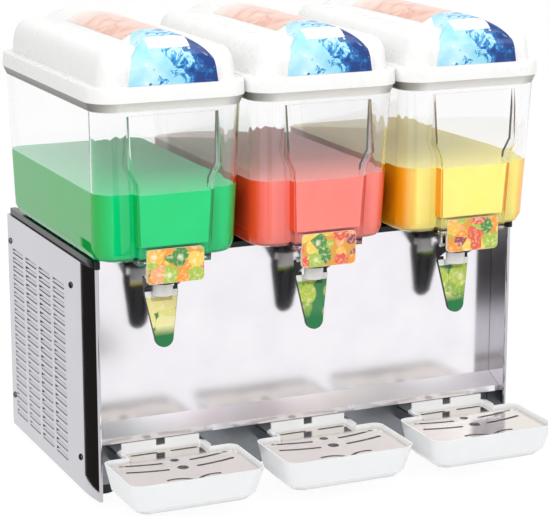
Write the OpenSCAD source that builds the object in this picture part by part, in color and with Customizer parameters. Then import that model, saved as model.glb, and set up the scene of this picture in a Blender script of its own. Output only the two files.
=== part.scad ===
// Refrigerated juice dispenser with three clear tanks, push-lever taps and drip trays.
// Millimetres, +Z up, front towards -Y. The origin is on the floor under the middle of the object.

/* [Cabinet] */
// Space between the walls of neighbouring tanks, just under their rims
tank_gap = 12; // [12:1:40]
// From an outer tank's centre line to the outer face of the side panel
end_bay = 88; // [82:1:110]
// Depth of the side panels, front edge to rear edge
panel_depth = 342; // [338:1:390]
// Height of the side panels
panel_height = 292; // [285:1:330]
// Thickness of the sheet steel
sheet = 1.2; // [0.8:0.1:1.5]
// Thickness of the folded front edge of a side panel
fin_w = 9; // [7:0.5:12]
// How far the front edge of a side panel curves in
fin_tuck = 4; // [2:0.5:5]
// Depth of the curved front band of a side panel
fin_band = 46; // [36:1:60]
// Setback of the mirror front panel behind the side panels
front_recess = 40; // [36:1:48]
// Setback of the rear panel from the side panels' rear edge
rear_recess = 16; // [15:1:20]
// Clearance between sheets that slide past each other in assembly
sheet_gap = 0.3; // [0.1:0.1:0.5]

/* [Louvres] */
// Columns of louvres in each side panel
louvre_cols = 4; // [2:1:4]
// Rows of louvres in each side panel
louvre_rows = 20; // [8:1:21]
// Length of one louvre
louvre_len = 44; // [34:1:48]
// Distance between louvre columns
louvre_col_pitch = 56.5; // [54:0.5:60]
// Distance between louvre rows
louvre_row_pitch = 11.7; // [10.5:0.1:12.5]
// How far the upper edge of a louvre slat is pressed in
louvre_in = 4; // [3:0.1:5]
// How far the lower edge of a louvre slat stands out
louvre_out = 1; // [0.5:0.1:1.5]
// Height of the opening round a louvre slat
louvre_slot = 7; // [6:0.2:8]
// Setback of the first louvre column from the panel's front edge
louvre_start_y = 108; // [100:1:112]
// Height of the lowest louvre row above the panel's lower edge
louvre_start_z = 27; // [22:1:34]

/* [Shelf and feet] */
// Height of the bend at the foot of the mirror panel, above the floor
shelf_back_z = 97; // [94:1:106]
// Height of the shelf's front edge above the floor
shelf_front_z = 84.5; // [82:0.5:90]
// Setback of the shelf's front edge behind the side panels' front edge
shelf_front_y = 12; // [8:1:16]
// Height of the lip under the shelf's front edge
shelf_lip = 7.5; // [6:0.5:9]
// Height of the rubber feet under the side panels' lower edge
foot_h = 9; // [6:1:14]
// Diameter of a rubber foot
foot_d = 36; // [28:1:44]
// Floor of the cabinet above the side panels' lower edge
pan_rise = 6; // [4:1:10]

/* [Deck] */
// Thickness of the black deck
deck_t = 7; // [5:0.5:10]
// Height of the deck's side rails over its surface
deck_rail = 2; // [1:0.5:4]
// Width of the deck's side rails
deck_rail_w = 8; // [7:0.5:12]
// Inset of the deck's edge from the side panels' outer faces
deck_inset = 2.5; // [2:0.5:4]
// Height of the seals and pads that carry the tanks
tank_pad = 3; // [2:0.5:4]

/* [Tanks] */
// Width of a tank's walls just under the rim
tank_w = 188; // [170:1:189]
// Length of a tank's walls just under the rim
tank_len = 367; // [350:1:380]
// Height of a tank from its floor to its rim
tank_h = 194; // [180:1:230]
// How far the tank's front wall stands before the side panels, at the rim
tank_front = 44; // [42:1:52]
// Lean of each side wall from rim to floor
side_draft = 4.5; // [2:0.5:7]
// Lean of the front wall from rim to floor
front_draft = 13; // [11:1:15]
// Lean of the rear wall from rim to floor
rear_draft = 9; // [4:1:12]
// Thickness of the tank's walls
tank_wall = 3; // [2:0.25:3.5]
// Radius of the tank's front corners
front_corner_r = 28; // [20:1:34]
// Radius of the tank's rear corners
rear_corner_r = 22; // [16:1:30]
// Rounding between walls and floor
floor_r = 13; // [9:1:15]
// Height of the flared rim
rim_h = 11; // [8:1:16]
// Width of the rim's flare
rim_flare = 5; // [3:0.5:5]
// Half width of the raised front panel over the jog
panel_half = 57; // [54:1:60]
// Half width of the raised front panel under the jog
panel_waist = 48.5; // [47:0.5:52]
// Half width of the raised front panel at its foot
panel_foot = 45; // [43:0.5:47]
// Height of the jog's upper end over the tank's floor
jog_top = 115; // [105:1:125]
// Height of the jog's lower end over the tank's floor
jog_low = 98; // [88:1:103]
// How far the raised panel stands before the side panels at the jog
panel_out = 53; // [53:0.5:56]
// How far the raised panel stands before the side panels at its foot
panel_foot_out = 47; // [46.5:0.5:49]

/* [Lids] */
// Height of the lid's brim
brim_h = 18; // [14:1:22]
// How far the dome is set in from the brim
dome_inset = 13; // [10:1:16]
// Height of the shoulders over the brim
shoulder_h = 40; // [36:1:44]
// Height of the hump over the brim
hump_h = 57; // [54:1:66]
// Half width of the hump
hump_half = 56; // [52:1:58]
// Length of the hump's nose, from its upright front to the crest
nose_len = 67; // [50:1:80]
// Height of the hump's nose under the crest
nose_h = 40; // [32:1:46]
// Radius of the hump's crown across the tank
crown_r = 60; // [60:1:90]
// Thickness of the lid's walls
lid_wall = 2.5; // [2:0.25:3.5]
// Depth of the lip that sits inside the tank's rim
lid_lip = 6; // [4:0.5:8]

/* [Taps] */
// Position of the tap's axis before the side panels' front edge
tap_out = 4; // [3:0.5:6]
// Outside diameter of the tap barrel
barrel_d = 34; // [32:0.5:34]
// Length of the tap barrel under the tank
barrel_len = 32; // [30:0.5:34]
// Bore of the tap barrel
barrel_bore = 20; // [18:0.5:21]
// Outside diameter of the spout
spout_d = 24; // [22:0.5:25]
// Length of the spout under the tap barrel
spout_len = 16; // [12:1:17]
// Bore of the valve seat
seat_bore = 11; // [10:0.5:11.5]
// Outside diameter of the neck through the tank's floor
neck_d = 24; // [22:0.5:24]
// Lift of the plunger at the end of the lever's travel
plunger_lift = 6.3; // [5:0.1:6.5]
// Diameter of the plunger's stem
stem_d = 6; // [5:0.25:7]
// Diameter of the plunger's lifting lugs
lug_d = 4; // [3:0.25:4.5]
// Height of the lifting lugs over the barrel's mouth
lug_rise = 8; // [7:0.25:9]
// Distance from the lever's pin to the tap's axis
lever_arm = 20; // [19:0.5:21]
// Height of the lever's pin over the barrel's mouth
pin_rise = 13; // [12.5:0.25:14]
// Diameter of the lever's pin
pin_d = 4; // [3:0.25:5]
// Width of the lever at its top
lever_w = 43; // [42:0.5:46]
// Width of the lever near its tip
lever_tip_w = 24; // [20:1:28]
// Length of the lever's paddle
paddle_len = 88; // [74:1:92]
// Lean of the lever's paddle
paddle_lean = 9; // [6:0.5:12]
// Thickness of the lever's paddle
paddle_t = 4; // [3:0.25:5]
// Width of the tap cover
cover_w = 72.5; // [68:0.5:76]
// Height of the tap cover
cover_h = 42; // [38:1:46]
// How far the tap cover hangs under the tank's floor
cover_drop = 23; // [18:1:25]
// Thickness of the tap cover
cover_t = 4; // [3:0.25:5]
// Wire diameter of the plunger's spring
spring_wire = 1.4; // [1:0.1:1.6]
// Turns of the plunger's spring
spring_turns = 4; // [3:1:4]

/* [Drip trays] */
// Width of a drip tray at its rim
tray_w = 174; // [164:1:184]
// Length of a drip tray's basin at its rim
tray_len = 104; // [96:1:112]
// How far the tray reaches before the side panels' front edge
tray_out = 122; // [116:1:130]
// Height of the tray's rim over the floor
tray_rim_z = 68; // [64:1:69]
// Depth of the tray's basin
tray_depth = 41; // [36:1:44]
// Wall of the tray
tray_wall = 2.2; // [1.6:0.2:2.6]
// Half width of the tray's neck under the shelf
neck_half = 55; // [50:1:60]
// Width of one stop tab at the back of the neck
tab_w = 45; // [36:1:46]
// Sag of the tray's belly
belly = 6; // [4:0.5:8]
// Depth of the grate's face under the tray's rim
grate_sink = 5; // [4:0.5:7]
// Thickness of the grate
grate_t = 1; // [0.8:0.1:1.5]

/* [Cooling and stirring] */
// Diameter of the cooling drum in a tank
drum_d = 96; // [84:1:104]
// Height of the cooling drum
drum_h = 64; // [60:1:70]
// Diameter of the pin that the stirrer turns on
stir_pin_d = 6; // [5:0.5:8]
// Diameter of the stirrer
stirrer_d = 72; // [66:1:90]
// Height of the stirrer
stirrer_h = 16; // [12:1:20]
// Diameter of the stirring motor
stir_motor_d = 52; // [44:1:56]
// Height of the stirring motor over the deck's lower face
stir_motor_h = 44; // [40:1:46]
// Diameter of the compressor's shell
compressor_d = 140; // [120:2:150]
// Height of the compressor's shell
compressor_h = 165; // [150:1:180]
// Diameter of the condenser fan
fan_d = 180; // [150:2:190]
// Fins of the condenser
condenser_fins = 16; // [10:1:20]

/* [Controls] */
// Diameter of the thermostat knob
knob_d = 32; // [26:1:38]
// Length of a rocker switch's cap
rocker_len = 17; // [15:0.5:18]
// Width of a rocker switch's cap
rocker_w = 11; // [9:0.5:12]
// Running clearance of pins and shafts, per side
run_fit = 0.05; // [0.03:0.01:0.08]

/* [Hidden] */
$fn = 64;

// Thin slice for hulls, and overreach of cuts
film = 0.01;
cut = 5;

// Cabinet levels and outlines; y counts from the side panels' front edge until a piece is placed
tank_pitch = tank_w + tank_gap;
half_w = tank_pitch + end_bay;
panel_z = foot_h;
top_z = panel_z + panel_height;
pan_z = panel_z + pan_rise;
inner_half = half_w - sheet - sheet_gap;
front_half = half_w - fin_w - sheet_gap;
rear_y = panel_depth - rear_recess;
mid_y = (panel_depth - tray_out) / 2;
deck_z = top_z + deck_t;
deck_half = half_w - deck_inset;
tank_z = deck_z + tank_pad;
kick_y = front_recess + 2 * sheet;
pan_wall = 50;
screw_d = 4;
screw_yz = [
    [panel_depth - 11, panel_z + panel_height - 35],
    [81, panel_z + panel_height - 37],
    [panel_depth - 11, panel_z + 43],
    [kick_y + 15, panel_z + 41]
];

// Tank outline at a height over the tank's floor
rim_z = tank_z + tank_h;
rim_start = tank_h - rim_h;
lid_seat = 0.1;
function lean(h) = 1 - min(h, rim_start) / rim_start;
function half_at(h) = tank_w / 2 - side_draft * lean(h);
function front_at(h) = -tank_front + front_draft * lean(h);
function back_at(h) = tank_len - tank_front - rear_draft * lean(h);
drum_y = (front_at(0) + back_at(0)) / 2;
drum_top = deck_z + drum_h;
drum_wall = 1.5;
seal_d = drum_d + 30;

// Tap levels
tap_y = -tap_out;
mouth_z = tank_z - barrel_len;
lug_z = mouth_z + lug_rise;
pin_y = tap_y - lever_arm;
pin_z = mouth_z + pin_rise;
seat_z = tank_z + tank_wall + 4;
collar_t = 5;
collar_d = barrel_bore - 4;
spring_low = lug_z + collar_t / 2;
spring_high = spring_low + plunger_lift + 8.2;
arm_in = barrel_d / 2 + 1.5;
lever_gap = 0.3;
lever_slit = 1.2;
cover_top = tank_z - cover_drop + cover_h;
cover_fit = 0.3;

// Drip tray levels
tray_back = -tray_out + tray_len;
tray_floor = tray_rim_z - tray_depth;
tray_taper = 7;
rail_z = tray_rim_z - 3;
grate_z = tray_rim_z - grate_sink - grate_t;
neck_back = shelf_front_y + 1;
grate_gap = 1.2;

// Cooling layout inside the cabinet
fan_axis = [half_w - 118, 180, 140];
compressor_at = [-tank_pitch * 0.7, 190];
condenser_x = half_w - 66;

// Points along an arc from angle a to angle b
function turn(a) = [cos(a), sin(a)];
function arc(c, r, a, b, n) = [for (i = [0:n]) c + r * turn(a + (b - a) * i / n)];

// Closed outline of a bent sheet: the path and its copy offset to the left, with mitred bends
function unit(v) = v / norm(v);
function left(v) = [-v[1], v[0]];
function side(p, i) = left(unit(p[i + 1] - p[i]));
function corner(p, i, t) =
    let(a = side(p, max(i - 1, 0)), b = side(p, min(i, len(p) - 2)))
    p[i] + (a + b) * t / (1 + a * b);
function ribbon(p, t) = concat(p, [for (i = [len(p) - 1:-1:0]) corner(p, i, t)]);

// Moves a piece from front-edge coordinates to the part's own frame
module place() translate([0, -mid_y, 0]) children();

// Extrudes a y-z outline along x, centred
module along_x(w) translate([-w / 2, 0, 0]) rotate([90, 0, 90]) linear_extrude(w) children();

// Extrudes an x-z outline along y from y0 to y1
module along_y(y0, y1) translate([0, y1, 0]) rotate([90, 0, 0]) linear_extrude(y1 - y0) children();

// Rounded rectangle with exact corner arcs
module round_rect(w, h, r) {
    square([w - 2 * r, h], center = true);
    square([w, h - 2 * r], center = true);
    for (x = [-1, 1]) for (y = [-1, 1]) translate([x * (w / 2 - r), y * (h / 2 - r)]) circle(r);
}

// Thin corner discs of a rounded outline at one level, for hulls
module ring(z, half, y0, y1, rf, rr) {
    for (s = [-1, 1]) {
        translate([s * (half - rf), y0 + rf, z]) cylinder(r = rf, h = film, $fn = 32);
        translate([s * (half - rr), y1 - rr, z]) cylinder(r = rr, h = film, $fn = 32);
    }
}

// Folded floor of the cabinet with the kick plate and the welded rails that carry the drip trays;
// its side walls are cut down behind the louvres
module base_pan() {
    sill = 10;
    margin = 6;
    louvre_span = (louvre_cols - 1) * louvre_col_pitch + louvre_len + 2 * margin;
    rail_t = 1.5;
    rail_web = 16;
    rail_flange = 3.5;
    rail_y = tray_back + 6;
    rail_len = kick_y - rail_y;
    color("lightgray") place() {
        difference() {
            translate([-inner_half, kick_y, pan_z])
                cube([2 * inner_half, rear_y - kick_y, shelf_back_z - pan_z]);
            translate([-inner_half + sheet, kick_y + sheet, pan_z + sheet])
                cube([2 * (inner_half - sheet), rear_y - kick_y - 2 * sheet, shelf_back_z]);
            translate([-half_w, kick_y + sheet, pan_z + pan_wall])
                cube([2 * half_w, panel_depth, shelf_back_z]);
            for (s = [-1, 1]) translate([s * (half_w + front_half) / 2, kick_y, pan_z + shelf_back_z / 2])
                cube([half_w - front_half, 3 * sheet, shelf_back_z], center = true);
            for (s = [-1, 1]) translate([s * half_w, screw_yz[3][0], screw_yz[3][1]])
                rotate([0, 90, 0]) cylinder(d = screw_d + 0.4, h = 40, center = true);
            for (s = [-1, 1])
                translate([s * inner_half - 2 * sheet, louvre_start_y - margin, pan_z + sill])
                    cube([4 * sheet, louvre_span, shelf_back_z]);
        }
        for (x = [-1:1]) for (s = [-1, 1]) translate([x * tank_pitch + s * (neck_half + 2), 0, 0]) {
            translate([-rail_t / 2, rail_y, rail_z - rail_web]) cube([rail_t, rail_len, rail_web]);
            translate([s > 0 ? -rail_t / 2 : -rail_flange, rail_y, rail_z - rail_t])
                cube([rail_t / 2 + rail_flange, rail_len, rail_t]);
        }
    }
}

// One twisted louvre slat in x-z: upper edge pressed in, lower edge standing out, open under it.
// The panel's outer face is at x = 0, the upper edge of the opening at z = 0
module slat() {
    top_gap = 0.4;
    air = 2.4;
    polygon([
        [louvre_in, -top_gap], [louvre_in + sheet, -top_gap],
        [sheet - louvre_out, air - louvre_slot], [-louvre_out, air - louvre_slot]
    ]);
}

// Polished side panel of the left-hand side: folded front edge, louvres and rear return
module side_panel() {
    bow_r = (fin_band * fin_band + fin_tuck * fin_tuck) / (2 * fin_tuck);
    bow_a = asin(fin_band / bow_r);
    nose = (fin_w - fin_tuck) / 2;
    path = concat(
        [[-half_w + 13, panel_depth], [-half_w, panel_depth]],
        arc([-half_w + bow_r, fin_band + nose], bow_r, 180, 180 + bow_a, 8),
        arc([-half_w + fin_w - nose, nose], nose, 200, 360, 8),
        [[-half_w + fin_w, front_recess + sheet]]
    );
    col_y = [for (i = [0:louvre_cols - 1]) louvre_start_y + i * louvre_col_pitch];
    row_z = [for (i = [0:louvre_rows - 1]) panel_z + louvre_start_z + i * louvre_row_pitch];
    root = 1;
    difference() {
        translate([0, 0, panel_z]) linear_extrude(panel_height) polygon(ribbon(path, sheet));
        for (y = col_y) for (z = row_z)
            translate([-half_w - cut, y, z - louvre_slot])
                cube([cut + sheet + 1, louvre_len, louvre_slot]);
        for (p = screw_yz) translate([-half_w, p[0], p[1]])
            rotate([0, 90, 0]) cylinder(d = screw_d + 0.4, h = 3 * sheet, center = true);
    }
    for (y = col_y) translate([-half_w, 0, 0]) along_y(y - root, y + louvre_len + root)
        for (z = row_z) translate([0, z]) slat();
}

module left_side_panel() color("gainsboro") place() side_panel();

module right_side_panel() color("gainsboro") place() mirror([1, 0, 0]) side_panel();

// Mirror-finish front sheet: top flange, tall face, sloping shelf and hemmed lip in one fold
module front_panel() {
    path = [
        [front_recess + 16, top_z],
        [front_recess, top_z],
        [front_recess, shelf_back_z],
        [shelf_front_y, shelf_front_z],
        [shelf_front_y, shelf_front_z - shelf_lip],
        [shelf_front_y + 5, shelf_front_z - shelf_lip]
    ];
    color("whitesmoke") place() along_x(2 * front_half) polygon(ribbon(path, sheet));
}

// Places of the controls on the rear panel, x and z
switch_at = [[150, top_z - 50], [190, top_z - 50]];
knob_at = [100, top_z - 50];
inlet_at = [170, pan_z + pan_wall + 20];
housing_w = rocker_w + 8;
housing_h = rocker_len + 9;
bush_d = 9;
shaft_d = 6;
inlet_w = 30;
inlet_h = 22;

// Rear sheet between the side panels, with flanges, air slots and the openings for the controls
module rear_panel() {
    path = [
        [-inner_half, panel_depth - sheet - sheet_gap],
        [-inner_half, rear_y],
        [inner_half, rear_y],
        [inner_half, panel_depth - sheet - sheet_gap]
    ];
    slot = [120, 5];
    color("gainsboro") place() difference() {
        translate([0, 0, pan_z]) linear_extrude(top_z - pan_z) polygon(ribbon(path, sheet));
        for (x = [-150, 0]) for (i = [0:9]) translate([x, rear_y, pan_z + 70 + i * 14])
            cube([slot[0], 4 * sheet, slot[1]], center = true);
        for (p = switch_at) translate([p[0], rear_y, p[1]])
            cube([housing_w + 0.4, 4 * sheet, housing_h + 0.4], center = true);
        translate([knob_at[0], rear_y, knob_at[1]]) rotate([90, 0, 0])
            cylinder(d = bush_d + 0.4, h = 4 * sheet, center = true);
        translate([inlet_at[0], rear_y, inlet_at[1]])
            cube([inlet_w + 0.4, 4 * sheet, inlet_h + 0.4], center = true);
        for (s = [-1, 1]) for (p = [screw_yz[0], screw_yz[2]]) translate([s * half_w, p[0], p[1]])
            rotate([0, 90, 0]) cylinder(d = screw_d + 0.4, h = 40, center = true);
    }
}

// Black moulded deck with raised side rails that run forward over the side panels
module top_deck() {
    front_y = front_recess - 2;
    back_y = panel_depth - 4;
    horn = deck_rail_w;
    pad_w = 8;
    pad_x = seal_d / 2 + 1.5;
    color([0.08, 0.08, 0.09]) place() difference() {
        union() {
            translate([0, (front_y + back_y) / 2, top_z]) linear_extrude(deck_t)
                round_rect(2 * deck_half, back_y - front_y, 3);
            for (s = [-1, 1]) translate([s * (deck_half - horn / 2), 0, top_z]) {
                translate([-horn / 2, 1, 0]) cube([horn, back_y - 4, deck_t + deck_rail]);
                translate([0, 1, 0]) cylinder(d = horn, h = deck_t + deck_rail);
            }
            for (x = [-1:1]) for (s = [-1, 1])
                translate([x * tank_pitch + s * (pad_x + pad_w / 2) - pad_w / 2, front_y + 20, deck_z])
                    cube([pad_w, back_y - front_y - 90, tank_pad]);
        }
        for (x = [-1:1]) translate([x * tank_pitch, drum_y, top_z - cut])
            cylinder(d = drum_d - 2 * drum_wall, h = deck_t + 2 * cut);
    }
}

// Four rubber feet under the floor of the cabinet
module feet() {
    r = foot_d / 2;
    color([0.1, 0.1, 0.1]) place()
        for (x = [-1, 1]) for (y = [kick_y + r + 4, rear_y - r - 10])
            translate([x * (inner_half - r - 10), y, 0]) rotate_extrude()
                polygon([[0, 0], [r - 4, 0], [r - 2, 2], [r, pan_z], [0, pan_z]]);
}

// Dome-head screws that hold the side panels
module panel_screws() {
    head_d = 9;
    head_h = 2.6;
    head_r = (head_d * head_d / 4 + head_h * head_h) / (2 * head_h);
    color("silver") place()
        for (s = [-1, 1]) for (p = screw_yz) translate([s * half_w, p[0], p[1]]) rotate([0, s * 90, 0]) {
            intersection() {
                translate([0, 0, head_h - head_r]) sphere(head_r);
                cylinder(d = head_d + 1, h = head_h);
            }
            translate([0, 0, -9]) cylinder(d = screw_d, h = 9 + film);
        }
}

// Rubber rings on the deck that seal the tanks round the cooling drums
module tank_seals() {
    flange_d = drum_d + 8;
    color([0.75, 0.75, 0.72]) place() for (x = [-1:1]) translate([x * tank_pitch, drum_y, deck_z])
        difference() {
            cylinder(d = seal_d, h = tank_pad);
            translate([0, 0, -cut]) cylinder(d = flange_d + 0.6, h = tank_pad + 2 * cut);
        }
}

// Hermetic compressor on its mounting feet, with service stubs and a terminal box
module compressor() {
    r = compressor_d / 2;
    base = pan_z + sheet;
    low = base + 14;
    cap = 34;
    seam = compressor_h * 0.55;
    seam_t = 4;
    color([0.12, 0.12, 0.13]) place() translate([compressor_at[0], compressor_at[1], 0]) {
        translate([0, 0, low]) rotate_extrude() polygon(concat(
            [[0, 0]],
            [for (a = [-90:15:0]) [r * cos(a), cap + cap * sin(a)] ],
            [[r, seam], [r + seam_t, seam], [r + seam_t, seam + seam_t], [r, seam + seam_t]],
            [for (a = [0:15:90]) [r * cos(a), compressor_h - cap + cap * sin(a)] ]
        ));
        translate([0, 0, base + 6]) linear_extrude(12)
            round_rect(1.1 * compressor_d, compressor_d * 0.7, 12);
        for (x = [-1, 1]) for (y = [-1, 1])
            translate([x * compressor_d * 0.45, y * compressor_d * 0.25, base]) cylinder(d = 18, h = 7);
        translate([r - 6, -20, low + 50]) cube([24, 40, 46]);
        for (a = [110, 140, 250]) rotate([0, 0, a]) translate([r - 10, 0, low + compressor_h * 0.62])
            rotate([0, 60, 0]) cylinder(d = 8, h = 34);
    }
}

// Condenser: plate fins on a serpentine of tubes, standing on two end plates
module condenser() {
    depth = 40;
    span = 190;
    h = 190;
    y0 = fan_axis[1] - span / 2;
    base = pan_z + sheet;
    pitch = span / (condenser_fins - 1);
    fin_t = 0.8;
    plate_t = 1.5;
    foot = 14;
    tube_d = 9;
    tube_out = 14;
    tube_rise = 34;
    tube_x = [0.28 * depth, 0.72 * depth];
    bend = 8;
    color([0.55, 0.56, 0.58]) place() translate([condenser_x, y0, base]) {
        for (i = [1:condenser_fins - 2]) translate([0, i * pitch, foot]) cube([depth, fin_t, h - foot]);
        for (y = [0, span - plate_t]) translate([0, y, 0]) cube([depth, plate_t, h]);
        for (x = tube_x) for (i = [1:5]) translate([x, -tube_out, i * tube_rise])
            rotate([-90, 0, 0]) cylinder(d = tube_d, h = span + 2 * tube_out);
        for (i = [1:5]) for (y = [-tube_out, span + tube_out - bend])
            translate([tube_x[0], y, i * tube_rise - bend / 2]) cube([tube_x[1] - tube_x[0], bend, bend]);
    }
}

// Fan motor on a sheet bracket that stands on the floor of the cabinet
module fan_motor() {
    can_d = 56;
    can_len = 44;
    nose_d = 22;
    nose_l = 6;
    stand = 8;
    bracket_w = 60;
    bracket_foot = 50;
    bracket_t = 3;
    bore_len = 40;
    base = pan_z + sheet;
    color([0.3, 0.3, 0.32]) place() translate([fan_axis[0], fan_axis[1], 0]) difference() {
        union() {
            translate([-can_len - stand, 0, fan_axis[2]]) rotate([0, 90, 0])
                cylinder(d = can_d, h = can_len);
            translate([-stand, 0, fan_axis[2]]) rotate([0, 90, 0]) cylinder(d = nose_d, h = nose_l);
            translate([-can_len - stand + 2, -bracket_w / 2, base]) {
                cube([bracket_t, bracket_w, fan_axis[2] - base]);
                cube([bracket_foot, bracket_w, bracket_t - 1]);
            }
        }
        translate([stand + 2 - bore_len, 0, fan_axis[2]]) rotate([0, 90, 0])
            cylinder(d = shaft_d + 2 * run_fit, h = bore_len);
    }
}

// Five-blade condenser fan with its shaft
module fan_blade() {
    hub_d = 48;
    chord = 56;
    blades = 5;
    color([0.85, 0.85, 0.86]) place() translate(fan_axis) rotate([0, 90, 0]) {
        translate([0, 0, -25]) cylinder(d = shaft_d, h = 30);
        cylinder(d = hub_d, h = 18);
        intersection() {
            translate([0, 0, -2]) cylinder(d = fan_d, h = 24);
            for (i = [0:blades - 1]) rotate([0, 0, i * 360 / blades]) translate([hub_d / 2 - 4, 0, 9])
                rotate([24, 0, 0]) translate([0, -chord / 2, -0.8]) cube([fan_d, chord, 1.6]);
        }
    }
}

// Mains inlet with three contact blades in its socket
module power_inlet() {
    color([0.1, 0.1, 0.1]) place() translate([inlet_at[0], rear_y, inlet_at[1]]) {
        difference() {
            union() {
                translate([0, sheet + 1, 0]) cube([inlet_w + 18, 2, inlet_h + 6], center = true);
                translate([0, sheet - 12, 0]) cube([inlet_w, 24, inlet_h], center = true);
            }
            cube([inlet_w - 6, 36, inlet_h - 6], center = true);
        }
        translate([0, sheet - 22, 0]) cube([inlet_w - 3, 4, inlet_h - 3], center = true);
        for (p = [[-7, -2], [0, 3], [7, -2]]) translate([p[0], sheet - 12, p[1]])
            cube([2, 18, 4], center = true);
    }
}

rocker_pivot_y = rear_y + sheet - 3;
rocker_axle = 3;

// Frames of the two rocker switches, and the thermostat's body behind the rear panel
module switch_housings() {
    well = 12;
    color([0.12, 0.12, 0.12]) place() {
        for (p = switch_at) translate([p[0], 0, p[1]]) difference() {
            union() {
                translate([-housing_w / 2, rear_y + sheet - 18, -housing_h / 2])
                    cube([housing_w, 18, housing_h]);
                translate([-housing_w / 2 - 2, rear_y + sheet, -housing_h / 2 - 2])
                    cube([housing_w + 4, 2, housing_h + 4]);
            }
            translate([-rocker_w / 2 - 0.5, rear_y + sheet - well, -rocker_len / 2 - 1.5])
                cube([rocker_w + 1, 3 * well, rocker_len + 3]);
            translate([0, rocker_pivot_y, 0]) rotate([0, 90, 0])
                cylinder(d = rocker_axle + 2 * run_fit, h = rocker_w + 5, center = true);
        }
        translate([knob_at[0], 0, knob_at[1]]) difference() {
            union() {
                translate([-17, rear_y - 22, -17]) cube([34, 22, 34]);
                translate([0, rear_y + 5, 0]) rotate([90, 0, 0]) cylinder(d = bush_d, h = 10);
            }
            translate([0, rear_y + 6, 0]) rotate([90, 0, 0])
                cylinder(d = shaft_d + 2 * run_fit, h = 20);
        }
    }
}

// Rocker cap with two sloping faces and its axle, at rest with the lower end out
module rocker(p) {
    rest_tilt = 9;
    end = rocker_len / 2;
    place() translate([p[0], rocker_pivot_y, p[1]]) rotate([rest_tilt, 0, 0]) {
        along_x(rocker_w) polygon([
            [-4, -end + 2], [7, -end], [5, 0], [7, end], [-4, end - 2]
        ]);
        rotate([0, 90, 0]) cylinder(d = rocker_axle, h = rocker_w + 4, center = true);
    }
}

module cooling_switch() color([0.15, 0.15, 0.15]) rocker(switch_at[0]);

module stirring_switch() color([0.15, 0.15, 0.15]) rocker(switch_at[1]);

// Thermostat knob with a finger ridge, on its shaft
module thermostat_knob() {
    r = knob_d / 2;
    stand_off = 5.5;
    color([0.14, 0.14, 0.14]) place() translate([knob_at[0], rear_y + stand_off, knob_at[1]])
        rotate([-90, 0, 0]) {
        translate([0, 0, -14]) cylinder(d = shaft_d, h = 15);
        rotate_extrude() polygon([[0, 0], [r, 0], [r - 1, 3], [r - 5, 4], [0, 4]]);
        intersection() {
            translate([0, 0, 5]) cube([5, knob_d, 10], center = true);
            cylinder(d = knob_d - 3, h = 9);
        }
    }
}

// Stainless cooling drums that stand up inside the tanks, each with a stirrer's pin
module evaporators() {
    r = drum_d / 2;
    color("silver") place() for (x = [-1:1]) translate([x * tank_pitch, drum_y, 0])
        rotate_extrude() polygon(concat(
        [[r - drum_wall, deck_z], [r + 4, deck_z], [r + 4, deck_z + 1.2], [r, deck_z + 1.2]],
        arc([r - 6, drum_top - 6], 6, 0, 90, 4),
        [[8, drum_top], [6, drum_top + 2], [stir_pin_d / 2, drum_top + 2]],
        [[stir_pin_d / 2, drum_top + stirrer_h + 3], [0, drum_top + stirrer_h + 3]],
        [[0, drum_top - drum_wall], [r - 6, drum_top - drum_wall], [r - drum_wall, drum_top - 6]]
    ));
}

// Stirring motors hung under the deck, inside the drums
module stir_motors() {
    flange_d = drum_d + 16;
    boss_h = 4;
    color([0.35, 0.35, 0.37]) place() for (x = [-1:1])
        translate([x * tank_pitch, drum_y, top_z]) difference() {
        union() {
            translate([0, 0, -2]) cylinder(d = flange_d, h = 2);
            translate([0, 0, -12]) cylinder(d = stir_motor_d, h = stir_motor_h + 12);
            translate([0, 0, stir_motor_h]) cylinder(d = 20, h = boss_h);
        }
        translate([0, 0, stir_motor_h - 10]) cylinder(d = shaft_d + 2 * run_fit, h = 40);
    }
}

// Magnet disc on the motor's shaft that drags the stirrer round through the drum's top
module drive_magnet(x) {
    gap = 2;
    disc_t = 8;
    color([0.2, 0.2, 0.22]) place() translate([x, drum_y, 0]) {
        translate([0, 0, drum_top - drum_wall - gap - disc_t]) cylinder(d = drum_d * 0.66, h = disc_t);
        translate([0, 0, top_z + stir_motor_h - 9])
            cylinder(d = shaft_d, h = drum_top - drum_wall - gap - disc_t - top_z - stir_motor_h + 10);
    }
}

// Moulded stirrer with a skirt over the magnets and four pitched blades
module stirrer(x) {
    base = drum_top + 2.4;
    hub_d = 20;
    skirt_t = 3;
    color("white") place() translate([x, drum_y, base]) difference() {
        union() {
            cylinder(d = hub_d, h = stirrer_h);
            cylinder(d = stirrer_d, h = skirt_t);
            intersection() {
                cylinder(d = stirrer_d, h = stirrer_h);
                for (a = [0:90:270]) rotate([0, 0, a]) translate([hub_d / 2 - 2, 0, skirt_t - 1])
                    rotate([20, 0, 0]) translate([0, -1.5, -2]) cube([stirrer_d, 3, stirrer_h]);
            }
        }
        translate([0, 0, -cut]) cylinder(d = stir_pin_d + 2 * run_fit, h = stirrer_h + 2 * cut);
    }
}

// Main walls and floor of a tank as a solid, set in by the given wall thickness
module tank_block(t) {
    r = floor_r;
    h0 = t;
    module level(h, inset)
        ring(tank_z + h, half_at(h) - t - inset, front_at(h) + t + inset, back_at(h) - t - inset,
            front_corner_r - t - inset * 0.5, rear_corner_r - t - inset * 0.5);
    hull() {
        level(h0, r);
        level(h0 + r * 0.29, r * 0.29);
        level(h0 + r, 0);
        level(rim_start, 0);
    }
}

// Flared rim of a tank as a solid
module rim_block(t, over) {
    h = rim_start;
    module level(z, out)
        ring(z, half_at(h) + out - t, front_at(h) - out + t, back_at(h) + out - t,
            front_corner_r + out - t, rear_corner_r + out - t);
    hull() {
        level(rim_z - rim_h, 0);
        level(rim_z + over, rim_flare);
    }
}

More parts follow.
